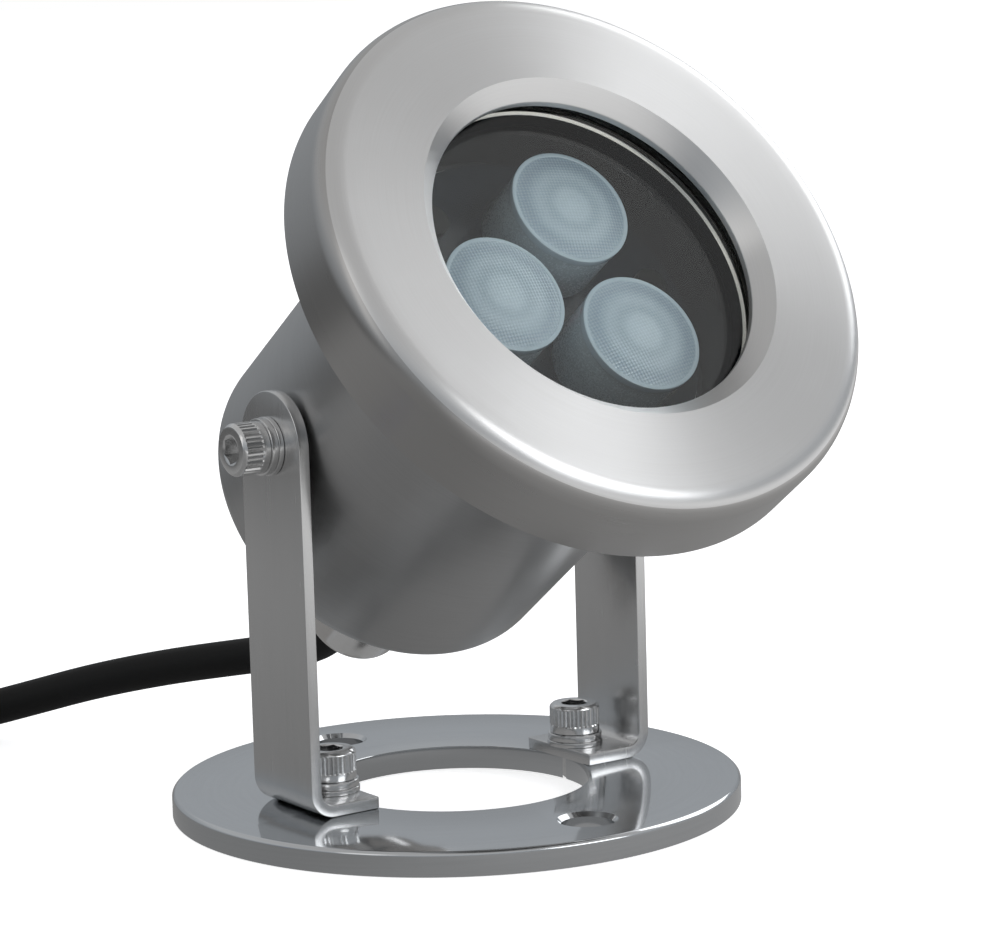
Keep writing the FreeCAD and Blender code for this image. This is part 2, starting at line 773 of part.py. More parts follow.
def make_coil(end, heading):
    """The coiled length's outer shape with its straight ends, and where and how its far end points."""
    outer_turn = coil_turn_radius + coil_turn_pitch / 2
    inner_turn = coil_turn_radius - coil_turn_pitch / 2
    left = up.cross(heading)
    touch = end + heading * coil_tangent
    centre = touch + left * outer_turn
    low = floor_clearance
    high = low + cable_diameter + coil_rise
    ring = tube(outer_turn + cable_radius, inner_turn - cable_radius, low, high)
    ring = ring.makeFillet(coil_round, [e for e in ring.Edges if isinstance(e.Curve, Part.Circle)])
    ring.translate(Vector(centre.x, centre.y, 0))
    turn = Rotation(up, 360 * coil_exit_turn)
    outwards = turn.multVec(left * -1)
    tail_start = Vector(centre.x, centre.y, end.z + coil_rise) + outwards * outer_turn
    along = turn.multVec(heading)
    tail_end = tail_start + along * tail_length
    tail_end.z = end.z
    tail_bend = tail_end - (along - up * end_fall) * tail_resting_length
    solid = ring.fuse([
        rod(end, touch, cable_diameter),
        rod(tail_start, tail_bend, cable_diameter),
        Part.makeSphere(cable_radius, tail_bend),
        rod(tail_bend, tail_end, cable_diameter),
    ])
    return solid.removeSplitter(), tail_end, (tail_end - tail_bend).normalize()


def make_bare_ends(end, heading):
    """The two stripped cores at the cable's far end, each with a crimped ferrule."""
    across = up.cross(heading).normalize()
    ferrules = []
    for name, sign in (("end_core_brown", -1), ("end_core_blue", 1)):
        start = end + across * sign * core_spacing / 2
        tip = start + heading * stripped_core_length
        save(name, rod(start, tip, core_diameter))
        ferrules.append(rod(tip, tip + heading * ferrule_length, ferrule_diameter))
    save("end_ferrules", group(ferrules))


def make_cable():
    """The free cable: the stretch that bends as the lamp tilts, the rest of its run, the coil and its end."""
    start, direction = gland_exit()
    points = [start, start + direction * cable_first_run]
    points += [Vector(x, y, cable_lying + lift) for x, y, lift in cable_route]
    split = (points[cable_split_after] + points[cable_split_after + 1]) / 2
    turn = points[cable_split_after + 1] - points[cable_split_after]
    wire, radii = rounded_path(points)
    print("cable radii in mm:", [round(r, 1) for r in radii])
    print("cable route length in mm:", round(wire.Length, 1))
    # each stretch keeps the arcs of the whole route, so the wire is divided at the split
    lead_edges, run_edges, passed = [], [], False
    for edge in wire.Edges:
        first, last = edge.valueAt(edge.FirstParameter), edge.valueAt(edge.LastParameter)
        holds_split = near((first - split).Length + (split - last).Length, edge.Length)
        if holds_split and isinstance(edge.Curve, Part.Line):
            lead_edges.append(Part.LineSegment(first, split).toShape())
            run_edges.append(Part.LineSegment(split, last).toShape())
            passed = True
        else:
            (run_edges if passed else lead_edges).append(edge)
    heading = points[-1] - points[-2]
    heading.z = 0
    heading.normalize()
    coil, tail_end, tail_heading = make_coil(points[-1], heading)
    save("cable_lead", swept(Part.Wire(lead_edges), start, direction, cable_diameter))
    save("cable_run", swept(Part.Wire(run_edges), split, turn, cable_diameter))
    save("cable_coil", coil)
    make_bare_ends(tail_end, tail_heading)


os.makedirs("parts", exist_ok=True)
make_stand()
make_pivot()
make_shell()
make_light_engine()
make_driver()
make_gland()
make_cable()
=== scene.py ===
"""Underwater pool light: the visible model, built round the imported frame.

A stainless spot lamp tilts between two bent strip arms on a round base plate. Each sub-assembly is a class
that holds its sizes in metres, models its pieces and dresses them. The head's pieces are modelled upright,
with the lamp's axis along +Z and the tilt pivot at zero, and are then leaned back to the lamp's rest angle.
"""

import json
import logging
import math
from dataclasses import dataclass, field
from enum import Enum
from typing import Callable, Optional, Sequence, Union

import bmesh
import bpy
from mathutils import Matrix, Vector

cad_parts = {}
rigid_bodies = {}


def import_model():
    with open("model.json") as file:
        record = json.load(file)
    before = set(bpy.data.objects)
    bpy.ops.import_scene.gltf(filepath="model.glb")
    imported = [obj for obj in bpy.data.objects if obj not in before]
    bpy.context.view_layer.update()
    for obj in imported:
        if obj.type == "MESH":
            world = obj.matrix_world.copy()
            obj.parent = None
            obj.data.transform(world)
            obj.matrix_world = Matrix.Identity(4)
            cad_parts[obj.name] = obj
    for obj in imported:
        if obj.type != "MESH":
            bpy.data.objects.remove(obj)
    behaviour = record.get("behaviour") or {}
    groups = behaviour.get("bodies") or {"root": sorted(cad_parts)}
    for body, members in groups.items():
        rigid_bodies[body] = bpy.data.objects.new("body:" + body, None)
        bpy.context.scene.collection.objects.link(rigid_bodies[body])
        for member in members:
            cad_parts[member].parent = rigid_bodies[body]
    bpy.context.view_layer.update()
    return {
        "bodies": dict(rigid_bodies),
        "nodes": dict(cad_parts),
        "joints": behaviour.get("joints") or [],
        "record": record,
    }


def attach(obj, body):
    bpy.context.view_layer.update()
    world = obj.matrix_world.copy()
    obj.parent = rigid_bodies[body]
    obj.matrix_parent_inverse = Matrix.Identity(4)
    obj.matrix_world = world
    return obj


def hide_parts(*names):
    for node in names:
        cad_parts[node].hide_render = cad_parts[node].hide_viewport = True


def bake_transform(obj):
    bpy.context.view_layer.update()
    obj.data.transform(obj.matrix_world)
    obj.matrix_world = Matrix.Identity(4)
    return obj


Point = tuple[float, float]
Spot = tuple[float, float, float]
Colour = tuple[float, float, float, float]
Feed = Union[bpy.types.NodeSocket, float, Sequence[float]]

log = logging.getLogger("pool_light")

MM = 0.001
PIVOT_HEIGHT = 63.7 * MM
REST_ELEVATION = math.radians(36.1)
LEAN = math.pi / 2 - REST_ELEVATION
HEAD_PLACE = Matrix.Translation((0, 0, PIVOT_HEIGHT)) @ Matrix.Rotation(LEAN, 4, "X")
ROUND_SIDES = 192
SMALL_SIDES = 72
MERGE = 1e-7  # vertices nearer than this become one
CLEAR = 1 * MM  # how far a cutter stands past what it cuts
LENS_ATTRIBUTE = "outward"
BEAD_ATTRIBUTE = "between_beads"
ACROSS_GROOVES = 0.25  # of a turn: a groove spreads the light across itself
WHITE = (1, 1, 1, 1)


class Body(str, Enum):
    """The two bodies that the tilt joint joins."""

    STAND = "stand"
    HEAD = "head"


class Frame(Enum):
    """Which way a pattern's own axes stand."""

    UPRIGHT = "upright"
    LAMP = "lamp"


class Grain(Enum):
    """How a metal surface was finished."""

    TURNED = "turned"
    DRAWN = "drawn"
    POLISHED = "polished"


# --- modelling by operators -------------------------------------------------------------------------------
def clear_selection() -> None:
    """Deselects every object."""
    bpy.ops.object.select_all(action="DESELECT")


def pick(obj: bpy.types.Object) -> None:
    """Makes one object the active one, and the only one selected."""
    clear_selection()
    obj.select_set(True)
    bpy.context.view_layer.objects.active = obj


def name_new(name: str) -> bpy.types.Object:
    """Names the primitive that was just added.

    Args:
        name: Its name, which its mesh gets too.

    Returns:
        The object.
    """
    obj = bpy.context.active_object
    obj.name = name
    obj.data.name = name
    return obj


def edit(obj: bpy.types.Object) -> None:
    """Opens a mesh for editing, with nothing in it selected."""
    pick(obj)
    bpy.ops.object.mode_set(mode="EDIT")
    bpy.ops.mesh.select_all(action="DESELECT")


def close_edit() -> None:
    """Leaves edit mode."""
    bpy.ops.object.mode_set(mode="OBJECT")


def select_whole() -> None:
    """Selects all of the open mesh."""
    bpy.ops.mesh.select_all(action="SELECT")


def close_healed() -> None:
    """Merges the open mesh's doubled vertices, turns its faces outwards and leaves edit mode."""
    select_whole()
    bpy.ops.mesh.remove_doubles(threshold=MERGE)
    bpy.ops.mesh.normals_make_consistent(inside=False)
    close_edit()


def select_by_place(obj: bpy.types.Object, test: Callable[[Vector], bool]) -> None:
    """Selects the vertices of an open mesh whose place passes a test.

    Args:
        obj: The object in edit mode.
        test: Says whether a vertex at a place is wanted.
    """
    bpy.ops.mesh.select_mode(type="VERT")
    mesh = bmesh.from_edit_mesh(obj.data)
    for vertex in mesh.verts:
        vertex.select = test(vertex.co)
    mesh.select_flush(True)
    bmesh.update_edit_mesh(obj.data)


def turned(
    name: str, outline: Sequence[Point], sides: int = ROUND_SIDES, closed: bool = False
) -> bpy.types.Object:
    """Turns a shape about the Z axis by growing a ring along an outline.

    Args:
        name: The piece's name.
        outline: (radius, height) points, none of them on the axis.
        sides: How many sides the ring has.
        closed: Whether the outline runs back to its first point; otherwise both ends are capped.

    Returns:
        The new object.
    """
    clear_selection()
    bpy.ops.mesh.primitive_circle_add(vertices=sides, radius=outline[0][0], fill_type="NOTHING")
    obj = name_new(name)
    bpy.ops.object.mode_set(mode="EDIT")
    select_whole()
    bpy.ops.transform.translate(value=(0, 0, outline[0][1]))
    if not closed:
        bpy.ops.mesh.edge_face_add()
        select_whole()
    run = list(outline) + ([outline[0]] if closed else [])
    for (radius, height), (next_radius, next_height) in zip(run, run[1:]):
        bpy.ops.mesh.extrude_region()
        growth = next_radius / radius
        bpy.ops.transform.resize(value=(growth, growth, 1))
        bpy.ops.transform.translate(value=(0, 0, next_height - height))
    close_healed()
    return obj


def eased(outline: Sequence[Point], width: float, closed: bool = False) -> list[Point]:
    """Rounds the corners of an outline slightly, as a tool leaves them.

    Args:
        outline: (radius, height) points.
        width: How far each corner's easing reaches along its edges.
        closed: Whether the outline is a loop.

    Returns:
        The outline with each corner replaced by four points.
    """
    points = [Vector(p) for p in outline]
    count = len(points)
    made: list[Point] = []
    for k, corner in enumerate(points):
        if not closed and k in (0, count - 1):
            made.append(tuple(corner))
            continue
        before = points[k - 1] - corner
        after = points[(k + 1) % count] - corner
        if before.angle(after) > math.radians(155):
            made.append(tuple(corner))
            continue
        enter = corner + before.normalized() * min(width, before.length * 0.4)
        leave = corner + after.normalized() * min(width, after.length * 0.4)
        for share in (0.0, 0.33, 0.67, 1.0):
            made.append(tuple(enter * (1 - share) ** 2 + corner * 2 * share * (1 - share) + leave * share**2))
    return made


def arc(centre: Point, radius: float, start: float, end: float, steps: int) -> list[Point]:
    """Points along an arc between two angles in degrees, both ends included."""
    angles = [math.radians(start + (end - start) * k / steps) for k in range(steps + 1)]
    return [(centre[0] + radius * math.cos(a), centre[1] + radius * math.sin(a)) for a in angles]


def flat_ring(
    name: str, radii: Point, heights: Point, easing: float, sides: int = ROUND_SIDES
) -> bpy.types.Object:
    """Turns a flat ring with eased edges.

    Args:
        name: The piece's name.
        radii: Its inner and outer radius.
        heights: The heights of its two faces.
        easing: How far the easing of its edges reaches.
        sides: How many sides it has.

    Returns:
        The ring.
    """
    (inner, outer), (low, high) = radii, heights
    outline = [(inner, low), (outer, low), (outer, high), (inner, high)]
    return turned(name, eased(outline, easing, True), sides, closed=True)


def rod(
    name: str, radius: float, low: float, high: float, at: Point = (0, 0), sides: int = SMALL_SIDES
) -> bpy.types.Object:
    """An upright closed cylinder between two heights, mostly to cut with."""
    clear_selection()
    bpy.ops.mesh.primitive_cylinder_add(
        vertices=sides, radius=radius, depth=high - low, location=(at[0], at[1], (low + high) / 2)
    )
    return settle(name_new(name))


def settle(obj: bpy.types.Object) -> bpy.types.Object:
    """Puts an object's place, turn and size into its mesh."""
    pick(obj)
    bpy.ops.object.transform_apply(location=True, rotation=True, scale=True)
    return obj


def shift(x: float = 0.0, y: float = 0.0, z: float = 0.0) -> Matrix:
    """A move along the three axes."""
    return Matrix.Translation((x, y, z))


def turn_about(axis: str, degrees: float) -> Matrix:
    """A turn about an axis."""
    return Matrix.Rotation(math.radians(degrees), 4, axis)


def linked(obj: bpy.types.Object) -> bpy.types.Object:
    """Puts a new object in the scene."""
    bpy.context.scene.collection.objects.link(obj)
    return obj


def moved(obj: bpy.types.Object, place: Matrix) -> bpy.types.Object:
    """Moves an object by a matrix and settles it."""
    obj.matrix_world = place @ obj.matrix_world
    return settle(obj)


def duplicate(obj: bpy.types.Object, name: str) -> bpy.types.Object:
    """A copy of a piece with its own mesh."""
    pick(obj)
    bpy.ops.object.duplicate(linked=False)
    return name_new(name)


def apply_modifier(obj: bpy.types.Object, kind: str, **settings: object) -> bpy.types.Object:
    """Adds a modifier and applies it.

    Args:
        obj: The piece.
        kind: The modifier's type.
        **settings: The modifier's own properties.

    Returns:
        The piece.
    """
    modifier = obj.modifiers.new(kind.lower(), kind)
    for key, value in settings.items():
        setattr(modifier, key, value)
    pick(obj)
    bpy.ops.object.modifier_apply(modifier=modifier.name)
    return obj


def carve(obj: bpy.types.Object, cutter: bpy.types.Object, operation: str = "DIFFERENCE") -> bpy.types.Object:
    """Cuts one piece with another, which is then thrown away."""
    apply_modifier(obj, "BOOLEAN", object=cutter, operation=operation, solver="EXACT")
    bpy.data.objects.remove(cutter)
    return obj


def bevel_edges(obj: bpy.types.Object, width: float, segments: int, degrees: float) -> bpy.types.Object:
    """Rounds the edges that are sharper than an angle."""
    limit = {"limit_method": "ANGLE", "angle_limit": math.radians(degrees)}
    return apply_modifier(obj, "BEVEL", width=width, segments=segments, **limit)


def smooth(obj: bpy.types.Object, degrees: float) -> bpy.types.Object:
    """Shades a piece smooth, except across edges sharper than an angle."""
    pick(obj)
    bpy.ops.object.shade_smooth_by_angle(angle=math.radians(degrees))
    return obj


def joined(name: str, parts: Sequence[bpy.types.Object]) -> bpy.types.Object:
    """Joins several meshes that are one moulded or welded piece.

    Args:
        name: The piece's name.
        parts: The meshes.

    Returns:
        The piece.
    """
    clear_selection()
    for part in parts:
        part.select_set(True)
    bpy.context.view_layer.objects.active = parts[0]
    bpy.ops.object.join()
    return name_new(name)


def polar(radius: float, degrees: float) -> Point:
    """The point at a radius and an angle about the Z axis."""
    return (radius * math.cos(math.radians(degrees)), radius * math.sin(math.radians(degrees)))


# --- node trees -------------------------------------------------------------------------------------------
@dataclass
class Sheet:
    """A node tree that is being wired up."""

    tree: bpy.types.NodeTree

    def feed(self, node: bpy.types.Node, inputs: dict[str | int, Feed]) -> None:
        """Gives each input of a node its value, or a link where it gets a socket."""
        for key, value in inputs.items():
            if isinstance(value, bpy.types.NodeSocket):
                self.tree.links.new(value, node.inputs[key])
            else:
                node.inputs[key].default_value = value

    def node(self, kind: str, inputs: Optional[dict] = None, **settings: object) -> bpy.types.Node:
        """Adds a node, with its settings and with values or links on its inputs.

        Args:
            kind: The node's type.
            inputs: What each input gets, by its name or number.
            **settings: The node's own properties.

        Returns:
            The node.
        """
        made = self.tree.nodes.new(kind)
        for key, value in settings.items():
            setattr(made, key, value)
        self.feed(made, inputs or {})
        return made

    def sum(self, operation: str, *values: Feed) -> bpy.types.NodeSocket:
        """The result of one arithmetic step on sockets or numbers."""
        return self.node("ShaderNodeMath", dict(enumerate(values)), operation=operation).outputs[0]

    def plus(self, one: Feed, other: Feed) -> bpy.types.NodeSocket:
        """One value added to another."""
        return self.sum("ADD", one, other)

    def times(self, one: Feed, other: Feed) -> bpy.types.NodeSocket:
        """One value multiplied by another."""
        return self.sum("MULTIPLY", one, other)

    def split(self, vector: Feed) -> Sequence[bpy.types.NodeSocket]:
        """The three parts of a vector."""
        return self.node("ShaderNodeSeparateXYZ", {0: vector}).outputs

    def noise(self, vector: Feed, scale: Feed, detail: float, roughness: float = 0.5) -> bpy.types.NodeSocket:
        """An even noise, as a mask."""
        values = {"Vector": vector, "Scale": scale, "Detail": detail, "Roughness": roughness}
        return self.node("ShaderNodeTexNoise", values).outputs["Fac"]

    def measure(self, attribute: str) -> bpy.types.NodeSocket:
        """A value that the mesh itself carries."""
        return self.node("ShaderNodeAttribute", attribute_name=attribute).outputs["Fac"]

    def blend(self, factor: Feed, low: Feed, high: Feed) -> bpy.types.NodeSocket:
        """A colour between two colours."""
        return self.node("ShaderNodeMix", {0: factor, 6: low, 7: high}, data_type="RGBA").outputs[2]

    def ranged(self, value: Feed, low: float, high: float) -> bpy.types.NodeSocket:
        """A mask stretched between two values."""
        return self.node("ShaderNodeMapRange", {"Value": value, "To Min": low, "To Max": high}).outputs[0]

    def graded(self, value: Feed, stops: Sequence[Sequence[float]]) -> bpy.types.NodeSocket:
        """A grey that follows a value smoothly from stop to stop.

        Args:
            value: Where on the scale it is.
            stops: Each stop's place and level, and its warmth where it has one.

        Returns:
            The colour.
        """
        ramp = self.node("ShaderNodeValToRGB", {0: value})
        scale = ramp.color_ramp
        scale.interpolation = "EASE"
        while len(scale.elements) < len(stops):
            scale.elements.new(0.5)
        for element, (at, *shade) in zip(scale.elements, stops):
            element.position = at
            element.color = grey(*shade)
        return ramp.outputs[0]


def new_group(name: str, **defaults: float) -> tuple[Sheet, dict[str, bpy.types.NodeSocket], bpy.types.Node]:
    """Starts a shader node group that takes a vector and some numbers and puts out one mask.

    Args:
        name: The group's name.
        **defaults: The numbers' names and default values.

    Returns:
        The sheet, the group's input sockets by name, and its output node.
    """
    tree = bpy.data.node_groups.new(name, "ShaderNodeTree")
    tree.interface.new_socket(name="Vector", in_out="INPUT", socket_type="NodeSocketVector")
    for label, default in defaults.items():
        socket = tree.interface.new_socket(name=label, in_out="INPUT", socket_type="NodeSocketFloat")
        socket.default_value = default
    tree.interface.new_socket(name="Mask", in_out="OUTPUT", socket_type="NodeSocketFloat")
    sheet = Sheet(tree)
    entry = sheet.node("NodeGroupInput")
    return sheet, {s.name: s for s in entry.outputs if s.name}, sheet.node("NodeGroupOutput")


class Effects:
    """The surface effects that several finishes share, each a node group that puts out a mask."""

    def __init__(self) -> None:
        """Builds each group once."""
        self.turned_grain = self._turned_grain()
        self.drawn_grain = self._drawn_grain()
        self.handling = self._handling()
        self.speckle = self._speckle()

    @staticmethod
    def _turned_grain() -> bpy.types.NodeTree:
        """Fine rings about the Z axis, drifting a little as they go round."""
        sheet, given, out = new_group("turned_grain", Fineness=3000, Drift=40)
        x, y, z = sheet.split(given["Vector"])
        radius = sheet.sum("SQRT", sheet.plus(sheet.times(x, x), sheet.times(y, y)))
        across = sheet.plus(sheet.times(radius, given["Fineness"]), sheet.times(x, given["Drift"]))
        along = sheet.plus(sheet.times(z, given["Fineness"]), sheet.times(y, given["Drift"]))
        place = sheet.node("ShaderNodeCombineXYZ", {0: across, 1: along})
        sheet.feed(out, {"Mask": sheet.noise(place.outputs[0], 1.0, 3.0)})
        return sheet.tree

    @staticmethod
    def _drawn_grain() -> bpy.types.NodeTree:
        """Straight fine lines along the Z axis."""
        sheet, given, out = new_group("drawn_grain", Fineness=2500, Length=60)
        scales = (given["Fineness"], given["Fineness"], given["Length"])
        parts = [sheet.times(part, scale) for part, scale in zip(sheet.split(given["Vector"]), scales)]
        place = sheet.node("ShaderNodeCombineXYZ", dict(enumerate(parts)))
        sheet.feed(out, {"Mask": sheet.noise(place.outputs[0], 1.0, 3.0)})
        return sheet.tree

    @staticmethod
    def _handling() -> bpy.types.NodeTree:
        """Broad uneven patches with a few small marks, as handling leaves on metal."""
        sheet, given, out = new_group("handling", Scale=40)
        broad = sheet.noise(given["Vector"], given["Scale"], 4.0, 0.6)
        fine = sheet.noise(given["Vector"], sheet.times(given["Scale"], 9.0), 2.0)
        marks = sheet.times(sheet.sum("POWER", fine, 4.0), 0.5)
        sheet.feed(out, {"Mask": sheet.plus(sheet.times(broad, 0.8), marks)})
        return sheet.tree

    @staticmethod
    def _speckle() -> bpy.types.NodeTree:
        """A moulded surface's close texture."""
        sheet, given, out = new_group("speckle", Scale=1500)
        cells = sheet.node("ShaderNodeTexVoronoi", {"Vector": given["Vector"], "Scale": given["Scale"]})
        noise = sheet.noise(given["Vector"], given["Scale"], 3.0)
        total = sheet.plus(sheet.times(cells.outputs["Distance"], 0.5), noise)
        sheet.feed(out, {"Mask": sheet.times(total, 0.6)})
        return sheet.tree


def effect(sheet: Sheet, group: bpy.types.NodeTree, vector: Feed, **values: float) -> bpy.types.NodeSocket:
    """Places an effect in a material with its own values, and returns its mask."""
    return sheet.node("ShaderNodeGroup", {"Vector": vector, **values}, node_tree=group).outputs[0]


def piece_coordinates(sheet: Sheet, frame: Frame) -> bpy.types.NodeSocket:
    """Object coordinates, or for the head the same measured along the lamp's own axis.

    Args:
        sheet: The material's sheet.
        frame: Which way the pattern stands.

    Returns:
        The coordinates.
    """
    coordinates = sheet.node("ShaderNodeTexCoord").outputs["Object"]
    if frame is Frame.UPRIGHT:
        return coordinates
    values = {"Vector": coordinates, "Location": (0, 0, PIVOT_HEIGHT), "Rotation": (LEAN, 0, 0)}
    return sheet.node("ShaderNodeMapping", values, vector_type="TEXTURE").outputs[0]


def groove_direction(sheet: Sheet, coordinates: Feed, frame: Frame) -> bpy.types.NodeSocket:
    """The direction of turning grooves, round the lamp's or the stand's axis.

    Args:
        sheet: The material's sheet.
        coordinates: The piece's coordinates in its own frame.
        frame: Which way that frame stands.

    Returns:
        The direction in the world.
    """
    x, y, _ = sheet.split(coordinates)
    around = sheet.node("ShaderNodeCombineXYZ", {0: sheet.times(y, -1.0), 1: x})
    if frame is Frame.LAMP:
        values = {"Vector": around.outputs[0], "Rotation": (LEAN, 0, 0)}
        around = sheet.node("ShaderNodeMapping", values, vector_type="VECTOR")
    spaces = {"vector_type": "VECTOR", "convert_from": "OBJECT", "convert_to": "WORLD"}
    world = sheet.node("ShaderNodeVectorTransform", {0: around.outputs[0]}, **spaces)
    return sheet.node("ShaderNodeVectorMath", {0: world.outputs[0]}, operation="NORMALIZE").outputs[0]


def new_material(name: str) -> tuple[Sheet, bpy.types.Node, bpy.types.Node]:
    """A material with a shader and an output.

    Args:
        name: The material's name.

    Returns:
        Its sheet, its shader node and its output node.
    """
    material = bpy.data.materials.new(name)
    material.use_nodes = True
    material.node_tree.nodes.clear()
    sheet = Sheet(material.node_tree)
    shader = sheet.node("ShaderNodeBsdfPrincipled")
    output = sheet.node("ShaderNodeOutputMaterial", {"Surface": shader.outputs[0]})
    return sheet, shader, output


def dress_shader(
    sheet: Sheet, shader: bpy.types.Node, colour: Feed, roughness: Feed, relief: Feed, depth: float
) -> None:
    """Gives a shader its colour, its roughness and a fine relief.

    Args:
        sheet: The material's sheet.
        shader: The shader node.
        colour: The base colour.
        roughness: The roughness.
        relief: The mask that the relief follows.
        depth: How deep the relief is.
    """
    bump = sheet.node("ShaderNodeBump", {"Strength": 1.0, "Distance": depth, "Height": relief})
    sheet.feed(shader, {"Base Color": colour, "Roughness": roughness, "Normal": bump.outputs[0]})


def show_mix(
    sheet: Sheet, share: Feed, one: bpy.types.Node, other: bpy.types.Node, output: bpy.types.Node
) -> None:
    """Shows one shader or another on a material's output, by a share."""
    mix = sheet.node("ShaderNodeMixShader", {0: share, 1: one.outputs[0], 2: other.outputs[0]})
    sheet.feed(output, {"Surface": mix.outputs[0]})


# --- finishes ---------------------------------------------------------------------------------------------
@dataclass(frozen=True)
class Metal:
    """A bare metal finish: its colour, its gloss and the marks that its making left."""

    name: str
    dull: Colour
    bright: Colour
    roughness: Point
    fineness: float = 3000.0
    depth: float = 0.00001
    patch_scale: float = 40.0
    anisotropy: float = 0.0
    grain: Grain = Grain.TURNED
    frame: Frame = Frame.LAMP
    grain_weight: float = 0.55

    def make(self, effects: Effects) -> bpy.types.Material:
        """Builds the material.

        Args:
            effects: The shared node groups.

        Returns:
            The material.
        """
        sheet, shader, _ = new_material(self.name)
        place = piece_coordinates(sheet, self.frame)
        patches = effect(sheet, effects.handling, place, Scale=self.patch_scale)
        if self.grain is Grain.TURNED:
            grain = effect(sheet, effects.turned_grain, place, Fineness=self.fineness, Drift=60.0)
        elif self.grain is Grain.DRAWN:
            grain = effect(sheet, effects.drawn_grain, place, Fineness=self.fineness, Length=60.0)
        else:
            grain = effect(sheet, effects.speckle, place, Scale=self.fineness)
        weight = self.grain_weight
        mixed = sheet.plus(sheet.times(grain, weight), sheet.times(patches, 1 - weight))
        colour = sheet.blend(mixed, self.dull, self.bright)
        dress_shader(sheet, shader, colour, sheet.ranged(mixed, *self.roughness), grain, self.depth)
        sheet.feed(shader, {"Metallic": 1.0, "Anisotropic": self.anisotropy})
        if self.anisotropy > 0:
            along = groove_direction(sheet, place, self.frame)
            sheet.feed(shader, {"Tangent": along, "Anisotropic Rotation": ACROSS_GROOVES})
        return bpy.data.materials[self.name]


@dataclass(frozen=True)
class Moulded:
    """A plastic, rubber or painted finish with a close surface texture; a lens also gets painted light and
    shade.
    """

    name: str
    dark: Colour
    light: Colour
    roughness: Point
    frame: Frame = Frame.LAMP
    texture_scale: float = 1500.0
    depth: float = 0.00003
    coat: float = 0.0
    clear: float = 0.0
    shine: float = 0.5
    # painted light and shade for a lens: whether it is painted, and how bright at each share of its radius,
    # in place of the light of the cone below
    rings: bool = False
    painted_cone_light: tuple[Point, ...] = (
        (0.0, 0.90), (0.22, 0.80), (0.40, 0.48), (0.56, 0.62), (0.80, 0.26), (0.90, 0.34), (0.95, 0.60)
    )

    def make(self, effects: Effects) -> bpy.types.Material:
        """Builds the material.

        Args:
            effects: The shared node groups.

        Returns:
            The material.
        """
        sheet, shader, _ = new_material(self.name)
        place = piece_coordinates(sheet, self.frame)
        texture = effect(sheet, effects.speckle, place, Scale=self.texture_scale)
        patches = effect(sheet, effects.handling, place, Scale=60.0)
        mixed = sheet.times(sheet.plus(texture, patches), 0.6)
        # painted light and shade on a lens: rings of light from the cone below, and darker valleys between
        # beads
        if self.rings:
            mixed = sheet.plus(sheet.times(mixed, 0.35), self._painted_lens_light(sheet))
        colour = sheet.blend(mixed, self.dark, self.light)
        dress_shader(sheet, shader, colour, sheet.ranged(mixed, *self.roughness), texture, self.depth)
        sheet.feed(shader, {"Coat Weight": self.coat, "Coat Roughness": 0.08})
        sheet.feed(shader, {"Transmission Weight": self.clear, "Specular IOR Level": self.shine})
        return bpy.data.materials[self.name]

    def _painted_lens_light(self, sheet: Sheet) -> bpy.types.NodeSocket:
        """Painted light and shade on a lens: rings by how far out from its axis stand in for the light of the
        cone below, and the valleys between beads are painted darker.
        """
        cone = sheet.graded(sheet.measure(LENS_ATTRIBUTE), self.painted_cone_light)
        return sheet.sum("SUBTRACT", cone, sheet.times(sheet.measure(BEAD_ATTRIBUTE), 0.45))


@dataclass(frozen=True)
class ClearGlass:
    """Toughened glass with a faint green tint, through which the light still reaches what is behind it."""

    name: str
    tint: Colour
    refraction: float
    shine: float

    def make(self, effects: Effects) -> bpy.types.Material:
        """Builds the material.

        Args:
            effects: The shared node groups.

        Returns:
            The material.
        """
        sheet, shader, output = new_material(self.name)
        smears = effect(sheet, effects.handling, piece_coordinates(sheet, Frame.LAMP), Scale=70.0)
        sheet.feed(shader, {"Base Color": sheet.blend(smears, self.tint, WHITE), "Roughness": 0.0})
        sheet.feed(shader, {"Transmission Weight": 1.0, "IOR": self.refraction})
        sheet.feed(shader, {"Specular IOR Level": self.shine})
        rays = sheet.node("ShaderNodeLightPath").outputs
        passing = sheet.sum("MAXIMUM", rays["Is Shadow Ray"], rays["Is Diffuse Ray"])
        open_air = sheet.node("ShaderNodeBsdfTransparent", {"Color": self.tint})
        show_mix(sheet, passing, shader, open_air, output)
        return bpy.data.materials[self.name]


def grey(level: float, warmth: float = 0.0) -> Colour:
    """A near-neutral colour, warmer above zero and cooler below it."""
    return (level * (1 + warmth), level, level * (1 - warmth), 1.0)


